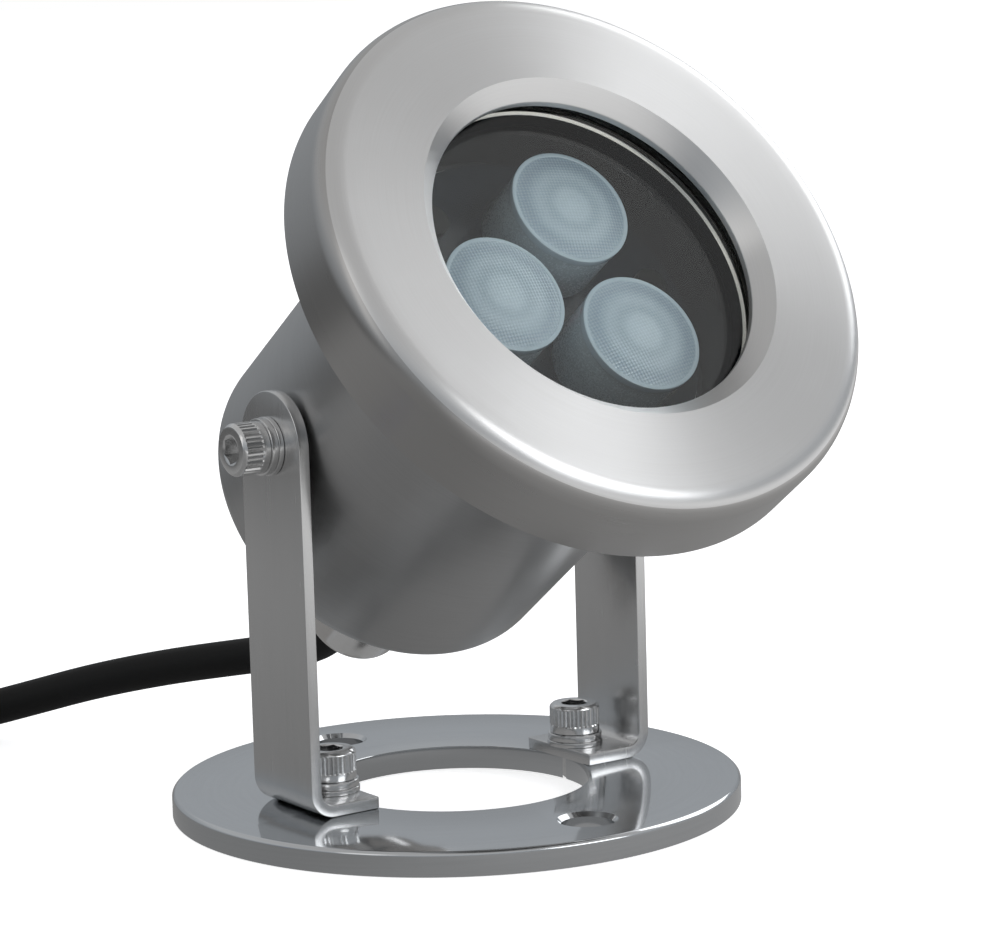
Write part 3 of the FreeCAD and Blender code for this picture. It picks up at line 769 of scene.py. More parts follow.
class Finishes:
    """Every finish on the lamp, made once."""

    def __init__(self, effects: Effects) -> None:
        """Makes the materials.

        Args:
            effects: The shared node groups.
        """
        upright = {"frame": Frame.UPRIGHT}
        polished = {"grain": Grain.POLISHED, **upright}
        drawn = {"grain": Grain.DRAWN, **upright}
        etched = {"texture_scale": 3500, "coat": 0.4}
        # metals: shades, roughness, fineness and depth of the grain, scale of the patches, anisotropy
        recipes = [
            Metal("bezel_brushed", grey(0.66, 0.01), grey(0.76), (0.25, 0.36), 5200, 2.2e-6, 18, 0.75),
            # the bezel's wall and outer round: finer turning and a darker copy of the steel, which is painted
            # shade
            Metal("bezel_wall_painted_shade", grey(0.44, 0.02), grey(0.52, 0.01), (0.24, 0.34), 5200, 1.2e-6, 18, 0.2),
            Metal("housing_satin", grey(0.42), grey(0.56), (0.28, 0.38), 3600, 2.5e-6, 22, 0.6),
            # lighter and darker copies of the housing's steel: painted shade inside the cup, a painted
            # highlight on its mouth
            Metal("housing_inside_painted_shade", grey(0.03, -0.1), grey(0.06, -0.1), (0.10, 0.18), 900, 1e-6),
            Metal("housing_mouth_painted_highlight", grey(0.70, 0.06), grey(0.88, 0.04), (0.20, 0.35), 3000, 4e-6),
            Metal("flange_steel", grey(0.42, 0.02), grey(0.62, 0.02), (0.20, 0.32), 3200, 5e-6, 40, 0.5),
            Metal("base_mirror", grey(0.58, -0.02), grey(0.70, -0.02), (0.06, 0.13), 1500, 4e-7, 30,
                  **upright),
            Metal("arm_satin", grey(0.58), grey(0.70), (0.20, 0.32), 2600, 2e-6, 25, **drawn),
            Metal("screw_black", grey(0.03), grey(0.06), (0.30, 0.42), 1800, 4e-6, 200, **polished),
            Metal("screw_bright", grey(0.62), grey(0.85), (0.12, 0.24), 1800, 6e-6, 200, **polished),
            Metal("washer_bright", grey(0.60), grey(0.82), (0.14, 0.26), 1800, 6e-6, 200, **polished),
            Metal("gland_nickel", grey(0.62, 0.03), grey(0.84, 0.02), (0.10, 0.22), 2500, 5e-6, 90),
            Metal("sink_milled", grey(0.62), grey(0.80), (0.25, 0.42), 1500, 8e-6),
            Metal("ferrule_tin", grey(0.62), grey(0.80), (0.22, 0.35), 2400, 5e-6, 300, **polished),
            Moulded("cable_jacket", grey(0.004), grey(0.010), (0.50, 0.68), Frame.UPRIGHT, 900, 4e-5,
                    shine=0.25),
            Moulded("seal_rubber_black", grey(0.010), grey(0.022), (0.45, 0.62)),
            Moulded("board_mask", (0.004, 0.008, 0.015, 1), (0.010, 0.018, 0.032, 1), (0.18, 0.24),
                    depth=3e-7, **etched),
            # the lens's rings and bead valleys are painted light and shade
            Moulded("lens_clear", (0.29, 0.39, 0.52, 1), (0.76, 0.88, 1.0, 1), (0.08, 0.16),
                    depth=1e-6, coat=1.0, clear=0.25, rings=True),
            Moulded("barrel_frosted", (0.52, 0.59, 0.66, 1), (0.58, 0.66, 0.73, 1), (0.22, 0.32),
                    depth=4e-7, clear=0.15, **etched),
            Moulded("led_dome", (0.70, 0.60, 0.20, 1), (0.85, 0.76, 0.35, 1), (0.25, 0.35)),
            Moulded("driver_mask_green", (0.01, 0.06, 0.03, 1), (0.02, 0.11, 0.05, 1), (0.25, 0.40)),
            Moulded("part_case", grey(0.02), grey(0.05), (0.30, 0.45)),
            Moulded("terminal_green", (0.02, 0.12, 0.05, 1), (0.04, 0.20, 0.08, 1), (0.35, 0.50)),
            Moulded("wire_red", (0.35, 0.01, 0.01, 1), (0.50, 0.03, 0.02, 1), (0.35, 0.50)),
            Moulded("wire_black", grey(0.010), grey(0.025), (0.35, 0.50)),
            Moulded("wire_brown", (0.10, 0.035, 0.015, 1), (0.17, 0.06, 0.025, 1), (0.35, 0.50), **upright),
            Moulded("wire_blue", (0.01, 0.04, 0.22, 1), (0.02, 0.07, 0.34, 1), (0.35, 0.50), **upright),
            ClearGlass("window_toughened", (0.93, 0.97, 0.95, 1), 1.5, 0.12),
        ]
        self.made = {recipe.name: recipe.make(effects) for recipe in recipes}

    def put(self, obj: bpy.types.Object, *names: str) -> None:
        """Gives a piece its finishes, the first of them all over."""
        obj.data.materials.clear()
        for name in names:
            obj.data.materials.append(self.made[name])


# --- assembling -------------------------------------------------------------------------------------------
@dataclass
class Workshop:
    """What every sub-assembly needs: the frame, the finishes and a way to hand a piece over."""

    frame: dict
    finishes: Finishes

    def fit(
        self, obj: bpy.types.Object, body: Body, slot: str, finish: str, node: str, degrees: float
    ) -> bpy.types.Object:
        """Dresses a finished piece and fixes it to its body.

        Args:
            obj: The piece, in its place.
            body: The body that it rides on.
            slot: The record's material slot; not used.
            finish: The finish's name.
            node: The frame's node that it stands for.
            degrees: The angle above which an edge stays sharp.

        Returns:
            The piece.
        """
        smooth(obj, degrees)
        if not obj.data.materials:
            self.finishes.put(obj, finish)
        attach(obj, body.value)
        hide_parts(node)
        log.info("%s: %d faces, on the %s", obj.name, len(obj.data.polygons), body.value)
        return obj

    def fit_head(
        self, obj: bpy.types.Object, slot: str, finish: str, node: str, degrees: float = 30
    ) -> bpy.types.Object:
        """Leans a piece modelled upright back to the lamp's rest angle, and fits it to the head.

        Args:
            obj: The piece, in its place in the upright head.
            slot: The record's material slot.
            finish: The finish's name.
            node: The frame's node that it stands for.
            degrees: The angle above which an edge stays sharp.

        Returns:
            The piece.
        """
        return self.fit(moved(obj, HEAD_PLACE), Body.HEAD, slot, finish, node, degrees)

    def dress(self, node: str, finish: str) -> None:
        """Gives a node of the frame that stays in view its finish."""
        self.finishes.put(self.frame["nodes"][node], finish)
        log.info("%s: dressed in %s", node, finish)


# --- cable ------------------------------------------------------------------------------------------------
@dataclass
class Cable:
    """The free cable: out of the gland, down to the floor, into its coil and out to two bare cores."""

    diameter: float = 6.5 * MM
    route: tuple[Spot, ...] = (
        (0.0, 31.759, 26.803),
        (0.0, 38.223, 22.089),
        (-1.7, 45.9, 19.0),
        (-7.2, 56.0, 17.0),
        (-15.6, 68.6, 14.4),
        (-24.6, 80.2, 11.2),
        (-32.4, 89.0, 7.9),
        (-40.4, 96.6, 5.0),
        (-48.9, 102.4, 3.4),
        (-58.0, 106.3, 3.3),
        (-67.5, 110.4, 3.3),
    )
    coil_centre: Point = (-90.95, 81.48)
    coil_start: float = 66.8
    coil_turns: float = 4.317
    points_per_turn: int = 16
    outer_turn: float = 35.8
    inner_turn: float = 29.2
    lowest_layer: float = 3.3
    layer_height: float = 6.6
    tail: tuple[Spot, ...] = (
        (-126.6, 66.0, 15.0),
        (-126.3, 52.0, 8.9),
        (-126.0, 38.0, 4.9),
        (-125.8, 28.0, 3.85),
        (-125.68, 20.86, 3.3),
    )
    length: float = 1.06
    bend_end: Spot = (-5.0, 52.0, 17.8)

    @staticmethod
    def _step(turn: float, start: float, end: float) -> float:
        """How far a smooth change between two turns has come."""
        share = min(max((turn - start) / (end - start), 0.0), 1.0)
        return share * share * (3 - 2 * share)

    def coil_points(self) -> list[Spot]:
        """The coil's control points: turns side by side and on each other, from the floor up."""
        width = self.outer_turn - self.inner_turn
        points = []
        for k in range(int(self.coil_turns * self.points_per_turn) + 1):
            turn = k / self.points_per_turn
            radius = self.outer_turn - width * (self._step(turn, 0.68, 0.95) - self._step(turn, 2.68, 2.95))
            layer = self._step(turn, 1.68, 1.95) + self._step(turn, 3.68, 3.95)
            height = self.lowest_layer + self.layer_height * layer
            x, y = polar(radius, self.coil_start + 360 * turn)
            points.append((self.coil_centre[0] + x, self.coil_centre[1] + y, height))
        return points

    def build(self, shop: Workshop) -> bpy.types.Object:
        """Lays the cable on one smooth line and gives it its jacket.

        Args:
            shop: The workshop.

        Returns:
            The cable.
        """
        points = [*self.route, *self.coil_points(), *self.tail]
        curve = bpy.data.curves.new("cable_line", "CURVE")
        curve.dimensions = "3D"
        curve.resolution_u = 8
        spline = curve.splines.new("NURBS")
        spline.points.add(len(points) - 1)
        for control, place in zip(spline.points, points):
            control.co = (*(part * MM for part in place), 1.0)
        spline.order_u = 3
        spline.use_endpoint_u = True
        line = linked(bpy.data.objects.new("cable_line", curve))
        bare = bpy.data.meshes.new_from_object(line)
        curve.bevel_depth = self.diameter / 2
        curve.bevel_resolution = 6
        curve.use_fill_caps = True
        bpy.context.view_layer.update()
        cable = linked(bpy.data.objects.new("cable", bpy.data.meshes.new_from_object(line)))
        bpy.data.objects.remove(line)
        edit(cable)
        close_healed()
        smooth(cable, 50)
        shop.finishes.put(cable, "cable_jacket")
        # the steel doesn't mirror the put-away coil
        cable.visible_glossy = False
        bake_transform(cable)
        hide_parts("cable_lead", "cable_run", "cable_coil")
        ends = ["end_core_brown", "end_core_blue", "end_ferrules"]
        for node, finish in zip(ends, ("wire_brown", "wire_blue", "ferrule_tin")):
            shop.dress(node, finish)
        return cable


# --- fasteners --------------------------------------------------------------------------------------------
@dataclass
class SocketScrew:
    """An M5 socket head screw with a knurled head, its head standing up from zero."""

    head_radius: float = 4.25 * MM
    head_height: float = 5.0 * MM
    collar_height: float = 1.25 * MM
    knurl_top: float = 4.35 * MM
    shank_radius: float = 2.5 * MM
    socket_flats: float = 4.0 * MM
    socket_depth: float = 2.6 * MM
    teeth: int = 34
    groove: float = 0.945

    def build(self, name: str, shank: float) -> bpy.types.Object:
        """Models the screw upright.

        Args:
            name: The piece's name.
            shank: The shank's length.

        Returns:
            The screw.
        """
        r, top = self.head_radius, self.head_height
        sides = self.teeth * 3
        step = 2 * math.pi / sides
        knurl_low = self.collar_height + 0.2 * MM
        knurl_high = self.knurl_top - 0.15 * MM
        screw = turned(
            name,
            [
                (self.shank_radius - 0.5 * MM, -shank),
                (self.shank_radius, -shank + 0.5 * MM),
                (self.shank_radius, 0),
                (r - 0.25 * MM, 0),
                (r - 0.03 * MM, 0.12 * MM),
                (r, 0.3 * MM),
                (r, self.collar_height),
                (r, knurl_low),
                (r, knurl_high),
                (r, self.knurl_top),
                (r - 0.12 * MM, self.knurl_top + 0.28 * MM),
                (r - 0.5 * MM, top - 0.04 * MM),
                (r - 0.75 * MM, top),
                (r * 0.62, top),
            ],
            sides,
        )

        def in_groove(place: Vector) -> bool:
            """Whether a vertex lies at the bottom of one of the knurl's grooves."""
            index = round(math.atan2(-place.x, place.y) / step)
            inside = knurl_low - 1e-6 < place.z < knurl_high + 1e-6
            return inside and index % 3 == 0 and math.hypot(place.x, place.y) > r * 0.95

        edit(screw)
        select_by_place(screw, in_groove)
        bpy.ops.transform.resize(value=(self.groove, self.groove, 1), center_override=(0, 0, 0))
        close_edit()
        half = self.socket_flats / 2
        carve(screw, rod("socket", half * 2 / math.sqrt(3), top - self.socket_depth, top + CLEAR, sides=6))
        cone = [(half * 0.9, top - 0.3 * MM), (half * 1.22, top + 0.02 * MM)]
        return carve(screw, turned("lead_in", cone, SMALL_SIDES))


@dataclass
class WasherStack:
    """A plain washer with a split spring washer on it, both standing on zero."""

    bore: float = 2.6 * MM
    plain_radius: float = 4.75 * MM
    plain_height: float = 0.9 * MM
    spring_radius: float = 4.6 * MM
    spring_height: float = 1.2 * MM
    split_width: float = 0.8 * MM
    split_slant: float = 28.0
    easing: float = 0.18 * MM

    def ring(self, name: str, radius: float, height: float) -> bpy.types.Object:
        """Models one flat ring standing on zero."""
        return flat_ring(name, (self.bore, radius), (0, height), self.easing, SMALL_SIDES * 2)

    def spring(self, name: str) -> bpy.types.Object:
        """Models the spring washer, split at a slant.

        Args:
            name: The piece's name.

        Returns:
            The washer.
        """
        ring = self.ring(name, self.spring_radius, self.spring_height)
        clear_selection()
        bpy.ops.mesh.primitive_cube_add(size=1, location=(self.spring_radius, 0, self.spring_height / 2))
        cutter = name_new("split")
        cutter.scale = (self.spring_radius * 1.6, self.split_width, self.spring_height * 4)
        cutter.rotation_euler = (math.radians(self.split_slant), 0, 0)
        return carve(ring, settle(cutter))


@dataclass
class Fasteners:
    """The four M5 screws with their washers: two hold the arms down and two carry the lamp."""

    shop: Workshop
    arm_outer: float
    base_screw_x: float
    foot_top: float
    base_shank: float = 8.0 * MM
    pivot_shank: float = 10.2 * MM
    pivot_gap: float = 0.05 * MM
    screw: SocketScrew = field(default_factory=SocketScrew)
    washers: WasherStack = field(default_factory=WasherStack)

    def _set(self, base: str, side: str, seat: Matrix, shank: float, turn: float, body: Body) -> None:
        """Models one screw with its washers and moves them to their seat.

        Args:
            base: What the screw holds, as its pieces' and nodes' names start.
            side: Which side it is on.
            seat: Where the face that they clamp is, its +Z outwards.
            shank: The screw's shank length.
            turn: How far the screw is turned about itself, in degrees.
            body: The body that they ride on.
        """
        washers = self.washers
        spring_at = washers.plain_height
        head_at = spring_at + washers.spring_height
        plain = washers.ring(f"{base}_{side}_plain_washer", washers.plain_radius, washers.plain_height)
        spring = moved(washers.spring(f"{base}_{side}_spring_washer"), shift(z=spring_at))
        spring = moved(spring, turn_about("Z", turn * 3))
        screw = self.screw.build(f"{base}_{side}_screw", shank)
        screw = moved(screw, shift(z=head_at) @ turn_about("Z", turn))
        for obj, node, finish in (
            (screw, "screws", "screw_bright"),
            (spring, "spring_washers", "washer_bright"),
            (plain, "flat_washers", "washer_bright"),
        ):
            self.shop.fit(moved(obj, seat), body, "fastener_steel", finish, f"{base}_{node}", 28)

    def build(self) -> None:
        """Models all four sets."""
        for side, sign, turn in (("left", -1, 12.0), ("right", 1, 41.0)):
            seat = shift(sign * self.base_screw_x, 0, self.foot_top)
            self._set("base", side, seat, self.base_shank, turn, Body.STAND)
            pivot_x = sign * (self.arm_outer + self.pivot_gap)
            seat = shift(pivot_x, 0, PIVOT_HEIGHT) @ turn_about("Y", 90 * sign)
            self._set("pivot", side, seat, self.pivot_shank, turn + 9, Body.HEAD)


# --- stand ------------------------------------------------------------------------------------------------
@dataclass
class Stand:
    """The base plate and the two arms bent from strip."""

    shop: Workshop
    base_radius: float = 47.5 * MM
    base_thickness: float = 4.0 * MM
    base_bevel: float = 0.5 * MM
    centre_hole: float = 22.35 * MM
    anchor_circle: float = 36.5 * MM
    anchor_radius: float = 4.25 * MM
    anchor_bevel: float = 0.7 * MM
    arm_outer: float = 34.0 * MM
    arm_thickness: float = 2.0 * MM
    arm_width: float = 17.6 * MM
    bend_radius: float = 4.4 * MM
    foot_length: float = 12.8 * MM
    base_screw_x: float = 24.8 * MM
    edge_easing: float = 0.22 * MM
    bend_steps: int = 14
    tapped_hole: float = 2.5 * MM
    foot_hole: float = 2.75 * MM
    pivot_hole: float = 2.55 * MM

    @property
    def foot_top(self) -> float:
        """The height of the top of an arm's foot."""
        return self.base_thickness + self.arm_thickness

    def base_plate(self) -> None:
        """Models the plate, with its holes."""
        r, t, bevel = self.base_radius, self.base_thickness, self.base_bevel
        outline = [(self.centre_hole, 0), (r, 0), (r, t - bevel), (r - bevel, t), (self.centre_hole, t)]
        plate = turned("base", eased(outline, 0.2 * MM, True), ROUND_SIDES, closed=True)
        for y in (-self.anchor_circle, self.anchor_circle):
            hole, chamfer = self.anchor_radius, self.anchor_bevel
            sides = [(hole, -CLEAR), (hole, t - chamfer), (hole + chamfer * 2, t + chamfer)]
            carve(plate, moved(turned("anchor", sides, SMALL_SIDES), shift(y=y)))
        for x in (-self.base_screw_x, self.base_screw_x):
            carve(plate, rod("tapping", self.tapped_hole, -CLEAR, t + CLEAR, (x, 0)))
        self.shop.fit(plate, Body.STAND, "stand_steel", "base_mirror", "base_plate", 20)

    def arm(self, label: str, sign: int) -> None:
        """Models one arm as a bent sheet, and then gives it its thickness.

        Args:
            label: Which arm it is.
            sign: -1 for the left arm and 1 for the right.
        """
        outer = sign * self.arm_outer
        bend_z = self.base_thickness + self.bend_radius
        clear_selection()
        bpy.ops.mesh.primitive_circle_add(
            vertices=96,
            radius=self.arm_width / 2,
            fill_type="NGON",
            location=(outer, 0, PIVOT_HEIGHT),
            rotation=(0, math.pi / 2, 0),
        )
        arm = settle(name_new(f"arm_{label}"))
        edit(arm)
        select_whole()
        bpy.ops.mesh.bisect(plane_co=(0, 0, PIVOT_HEIGHT), plane_no=(0, 0, 1), clear_inner=True)
        bpy.ops.mesh.select_all(action="DESELECT")
        select_by_place(arm, lambda p: abs(p.z - PIVOT_HEIGHT) < 1e-6)
        bpy.ops.mesh.extrude_region()
        bpy.ops.transform.translate(value=(0, 0, bend_z - PIVOT_HEIGHT))
        bpy.ops.mesh.spin(
            steps=self.bend_steps,
            angle=-sign * math.pi / 2,
            center=(outer - sign * self.bend_radius, 0, bend_z),
            axis=(0, 1, 0),
        )
        bpy.ops.mesh.extrude_region()
        flat = self.foot_length - self.bend_radius
        bpy.ops.transform.translate(value=(-sign * flat, 0, 0))
        select_whole()
        bpy.ops.mesh.remove_doubles(threshold=MERGE)
        close_edit()
        outwards = arm.data.polygons[0].normal.x * sign > 0
        side = -1.0 if outwards else 1.0
        apply_modifier(arm, "SOLIDIFY", thickness=self.arm_thickness, offset=side, use_even_offset=True)
        edit(arm)
        select_whole()
        bpy.ops.mesh.normals_make_consistent(inside=False)
        close_edit()
        bevel_edges(arm, self.edge_easing, 3, 50)
        pivot = rod("pivot_hole", self.pivot_hole, -4 * MM, 4 * MM)
        carve(arm, moved(pivot, shift(outer, 0, PIVOT_HEIGHT) @ turn_about("Y", 90)))
        at = (sign * self.base_screw_x, 0)
        carve(arm, rod("foot_hole", self.foot_hole, self.base_thickness - CLEAR, self.foot_top + CLEAR, at))
        self.shop.fit(arm, Body.STAND, "stand_steel", "arm_satin", f"{label}_arm", 25)

    def build(self) -> None:
        """Models the plate and both arms."""
        self.base_plate()
        self.arm("left", -1)
        self.arm("right", 1)


# --- head: shell ------------------------------------------------------------------------------------------
@dataclass
class Shell:
    """The bezel, the housing with its flange and bosses, and the glass between its seals."""

    shop: Workshop
    bezel_radius: float = 47.2 * MM
    bezel_front: float = 55.0 * MM
    bezel_rear: float = 40.9 * MM
    front_round: float = 4.0 * MM
    opening: float = 27.75 * MM
    opening_outer: float = 30.5 * MM
    opening_depth: float = 2.8 * MM
    plate_rear: float = 51.2 * MM
    pocket: float = 36.7 * MM
    skirt: float = 43.35 * MM
    flange_front: float = 44.4 * MM
    flange_radius: float = 43.2 * MM
    housing_radius: float = 31.4 * MM
    housing_rear: float = -24.5 * MM
    rear_wall: float = 3.0 * MM
    rear_round: float = 3.4 * MM
    bore: float = 29.4 * MM
    mouth_bevel: float = 0.45 * MM
    lower_bore: float = 27.9 * MM
    ledge: float = 25.8 * MM
    glass_radius: float = 36.5 * MM
    glass_front: float = 50.4 * MM
    glass_rear: float = 45.4 * MM
    screw_circle: float = 40.025 * MM
    boss_radius: float = 5.5 * MM
    boss_inner: float = 24.4 * MM
    boss_outer: float = 31.95 * MM
    rear_bevel: float = 0.4 * MM
    screw_radius: float = 1.5 * MM
    sides: int = 256

    @property
    def screw_places(self) -> list[Point]:
        """Where the six screws stand that hold the bezel."""
        return [polar(self.screw_circle, 60 * (k + 0.5)) for k in range(6)]

    def bezel(self) -> None:
        """Models the front ring."""
        r, front, rear, fillet = self.bezel_radius, self.bezel_front, self.bezel_rear, self.front_round
        opening, outer, plate = self.opening, self.opening_outer, self.plate_rear
        mouth = eased([(opening, plate), (opening, front - self.opening_depth), (outer, front)], 0.18 * MM)
        # the face is divided, so that light runs over it evenly
        face = [(outer + (r - fillet - outer) * k / 6, front) for k in range(1, 6)]
        edge = arc((r - fillet, front - fillet), fillet, 90, 0, 14)
        skirt = [(r, rear + self.rear_bevel), (r - self.rear_bevel, rear), (self.skirt, rear)]
        back = [(self.skirt, self.flange_front), (self.pocket, self.flange_front), (self.pocket, plate)]
        ring = turned("bezel", mouth + face + edge + skirt + back, self.sides, closed=True)
        for at in self.screw_places:
            carve(ring, rod("tapped", self.screw_radius, rear - CLEAR, rear + 9 * MM, at, 32))
        self.shop.fit_head(ring, "bezel_steel", "bezel_brushed", "front_bezel")
        # the wall and outer round get finer turning and a darker copy of the steel, which is painted shade
        ring.data.materials.append(self.shop.finishes.made["bezel_wall_painted_shade"])
        lamp_place = HEAD_PLACE.inverted()
        for face in ring.data.polygons:
            centre = lamp_place @ face.center
            if math.hypot(centre.x, centre.y) > r - 0.7 * fillet and centre.z < front - 0.32 * fillet:
                face.material_index = 1

    def housing(self) -> None:
        """Models the deep cup, with a painted highlight at its mouth and painted shade inside."""
        r, rear, inside = self.housing_radius, self.housing_rear, self.housing_rear + self.rear_wall
        fillet = self.rear_round
        outside = arc((r - fillet, rear + fillet), fillet, -90, 0, 12)
        wall = [(r, rear + fillet + (self.flange_front - rear - fillet) * k / 8) for k in range(1, 8)]
        front, bevel = self.flange_front, self.mouth_bevel
        bore, ledge = self.bore, self.ledge
        corners = [(r, ledge), (r, front), (bore + bevel, front), (bore, front - bevel), (bore, ledge)]
        mouth = eased(corners, 0.08 * MM)
        low = [(self.lower_bore, ledge), (self.lower_bore, inside), (1 * MM, inside)]
        cup = turned("housing", [(1 * MM, rear)] + outside + wall + mouth[1:] + low, self.sides)
        gland = rod("gland_hole", Gland.thread, rear - CLEAR, inside + CLEAR)
        carve(cup, moved(gland, shift(y=Gland.offset)))
        for sign in (-1, 1):
            boss = rod("boss_hole", self.boss_radius, -6 * MM, 6 * MM)
            carve(cup, moved(boss, shift(sign * r) @ turn_about("Y", 90)))
        # the mouth's bevel gets a lighter copy of the steel, a painted highlight; the bore and floor inside
        # get a near-black copy, painted shade
        self.shop.finishes.put(cup, "housing_satin", "housing_inside_painted_shade", "housing_mouth_painted_highlight")
        for face in cup.data.polygons:
            reach = math.hypot(face.center.x, face.center.y)
            if face.center.z > self.flange_front - bevel and reach < r - 0.1 * MM:
                face.material_index = 2
            elif reach < self.bore + 0.05 * MM and face.center.z > inside - 0.01 * MM:
                face.material_index = 1
        self.shop.fit_head(cup, "housing_steel", "housing_satin", "lamp_housing")

    def flange(self) -> None:
        """Models the welded ring that the bezel's screws pass through, and those screws."""
        low, high, shank = self.bezel_rear, self.flange_front, self.screw_radius
        ring = flat_ring("flange", (self.housing_radius, self.flange_radius), (low, high), 0.15 * MM)
        screws = []
        for k, (x, y) in enumerate(self.screw_places):
            cone = [(2.85 * MM, low), (shank, low + 1.5 * MM)]
            sink = [(2.95 * MM, low - 0.1 * MM), cone[1], (shank, high + CLEAR)]
            carve(ring, moved(turned("sinking", sink, 48), shift(x, y)))
            tip = [(shank, low + 8.6 * MM), (1.1 * MM, low + 9 * MM)]
            screw = turned(f"bezel_screw_{k + 1}", cone + tip, 48)
            hexagon = rod("socket", 2 * MM / math.sqrt(3), low - CLEAR, low + 1.1 * MM, sides=6)
            screws.append(moved(carve(screw, hexagon), shift(x, y) @ turn_about("Z", 17 * k)))
        self.shop.fit_head(ring, "housing_steel", "flange_steel", "housing_flange")
        for screw in screws:
            self.shop.fit_head(screw, "fastener_steel", "screw_bright", "bezel_screws")

    def seals_and_glass(self) -> None:
        """Models the glass with its ground edge, and a gasket on each side of it."""
        low, high, r = self.glass_rear, self.glass_front, self.glass_radius
        inner, grind = 10 * MM, 0.4 * MM
        edge = [(r - grind, low), (r, low + grind), (r, high - grind), (r - grind, high)]
        pane = turned("glass", [(inner, low), *edge, (inner, high)])
        self.shop.fit_head(pane, "window_glass", "window_toughened", "front_glass")
        for side, bore, bottom, top in (
            ("front", 28.6 * MM, high, self.plate_rear),
            ("rear", 31.0 * MM, self.flange_front, low),
        ):
            ring = flat_ring(f"gasket_{side}", (bore, r), (bottom, top), 0.25 * MM)
            self.shop.fit_head(ring, "seal_rubber", "seal_rubber_black", f"{side}_gasket", 40)

    def bosses(self) -> None:
        """Models the pivot bosses that are welded into the housing's sides."""
        r, inner, outer, easing = self.boss_radius, self.boss_inner, self.boss_outer, 0.2 * MM
        blind = [(1 * MM, inner), (r - easing, inner), (r, inner + easing)]
        end = [(r, outer - easing), (r - easing, outer)]
        bore = [(2.5 * MM, outer), (2.5 * MM, inner + 1.5 * MM)]
        for label, sign in (("left", -1), ("right", 1)):
            boss = turned(f"pivot_boss_{label}", blind + end + bore, SMALL_SIDES)
            boss = moved(boss, turn_about("Y", 90 * sign))
            self.shop.fit_head(boss, "housing_steel", "housing_satin", "pivot_bosses")

    def build(self) -> None:
        """Models the whole shell."""
        self.bezel()
        self.housing()
        self.flange()
        self.seals_and_glass()
        self.bosses()


# --- head: light engine -----------------------------------------------------------------------------------
@dataclass
class LightEngine:
    """The three lenses in their barrels on the LED board."""

    shop: Workshop
    lens_radius: float = 10.25 * MM
    lens_front: float = 42.4 * MM
    crown: float = 0.8 * MM
    rim_rear: float = 41.2 * MM
    rim_width: float = 0.75 * MM
    bead_pitch: float = 0.56 * MM
    bead_height: float = 0.11 * MM
    steps_per_bead: int = 5
    barrel_radius: float = 10.0 * MM
    barrel_bore: float = 9.3 * MM
    board_top: float = 31.4 * MM
    pitch: float = 13.7 * MM
    angles: tuple[float, ...] = (67.0, 187.0, 307.0)

    def _beaded_face(self, name: str) -> bpy.types.Object:
        """Models the crowned face, covered with a square grid of small beads.

        Args:
            name: The face's name.

        Returns:
            The face, which carries how far each of its points lies between beads.
        """
        field_radius = self.lens_radius - self.rim_width
        beads = math.ceil(2 * field_radius / self.bead_pitch)
        size = beads * self.bead_pitch
        clear_selection()
        cells = beads * self.steps_per_bead
        bpy.ops.mesh.primitive_grid_add(x_subdivisions=cells, y_subdivisions=cells, size=size)
        face = name_new(name)
        ball = (self.lens_radius**2 + self.crown**2) / (2 * self.crown)
        between = face.data.attributes.new(BEAD_ATTRIBUTE, "FLOAT", "POINT")
        for vertex, valley in zip(face.data.vertices, between.data):
            x, y = vertex.co.x, vertex.co.y
            drop = ball - math.sqrt(ball * ball - x * x - y * y)
            bump = abs(math.cos(math.pi * x / self.bead_pitch) * math.cos(math.pi * y / self.bead_pitch))
            valley.value = 1 - math.sqrt(bump)
            vertex.co.z = self.lens_front + self.crown - drop - self.bead_height * valley.value
        edit(face)
        select_by_place(face, lambda p: math.hypot(p.x, p.y) > field_radius + 0.25 * MM)
        bpy.ops.mesh.delete(type="VERT")
        close_edit()
        return face

    def lens(self) -> bpy.types.Object:
        """Models one lens: its beaded face, its flat rim and the closed cone below."""
        r, rear, front = self.lens_radius, self.rim_rear, self.lens_front
        field_radius = r - self.rim_width
        foot = self.board_top + 1.6 * MM
        lip = front + 0.12 * MM
        rim = [(field_radius, front - 0.35 * MM), (field_radius, lip), (r, lip), (r, rear), (9.0 * MM, rear)]
        cone = [(3.6 * MM, foot), (2.6 * MM, foot), (2.6 * MM, foot + 3 * MM), (1 * MM, foot + 3 * MM)]
        body = turned("lens_body", eased(rim + cone, 0.15 * MM), 96)
        lens = joined("lens_model", [self._beaded_face("lens_face"), body])
        outward = lens.data.attributes.new(LENS_ATTRIBUTE, "FLOAT", "POINT")
        for vertex, value in zip(lens.data.vertices, outward.data):
            value.value = math.hypot(vertex.co.x, vertex.co.y) / r
        return lens

    def barrel(self) -> bpy.types.Object:
        """Models one barrel: a plain tube that a lens stands on."""
        radii = (self.barrel_bore, self.barrel_radius)
        return flat_ring("barrel_model", radii, (self.board_top, self.rim_rear), 0.15 * MM, 128)

    def build(self) -> None:
        """Models the lenses and their barrels, a copy at each place."""
        for model, name, slot, finish, node in (
            (self.lens(), "lens", "lens_acrylic", "lens_clear", "lenses"),
            (self.barrel(), "barrel", "holder_plastic", "barrel_frosted", "lens_holders"),
        ):
            for k, angle in enumerate(self.angles):
                place = shift(*polar(self.pitch, angle)) @ turn_about("Z", 8 * k - 6)
                copy = moved(duplicate(model, f"{name}_{k + 1}"), place)
                self.shop.fit_head(copy, slot, finish, node, 50)
            bpy.data.objects.remove(model)


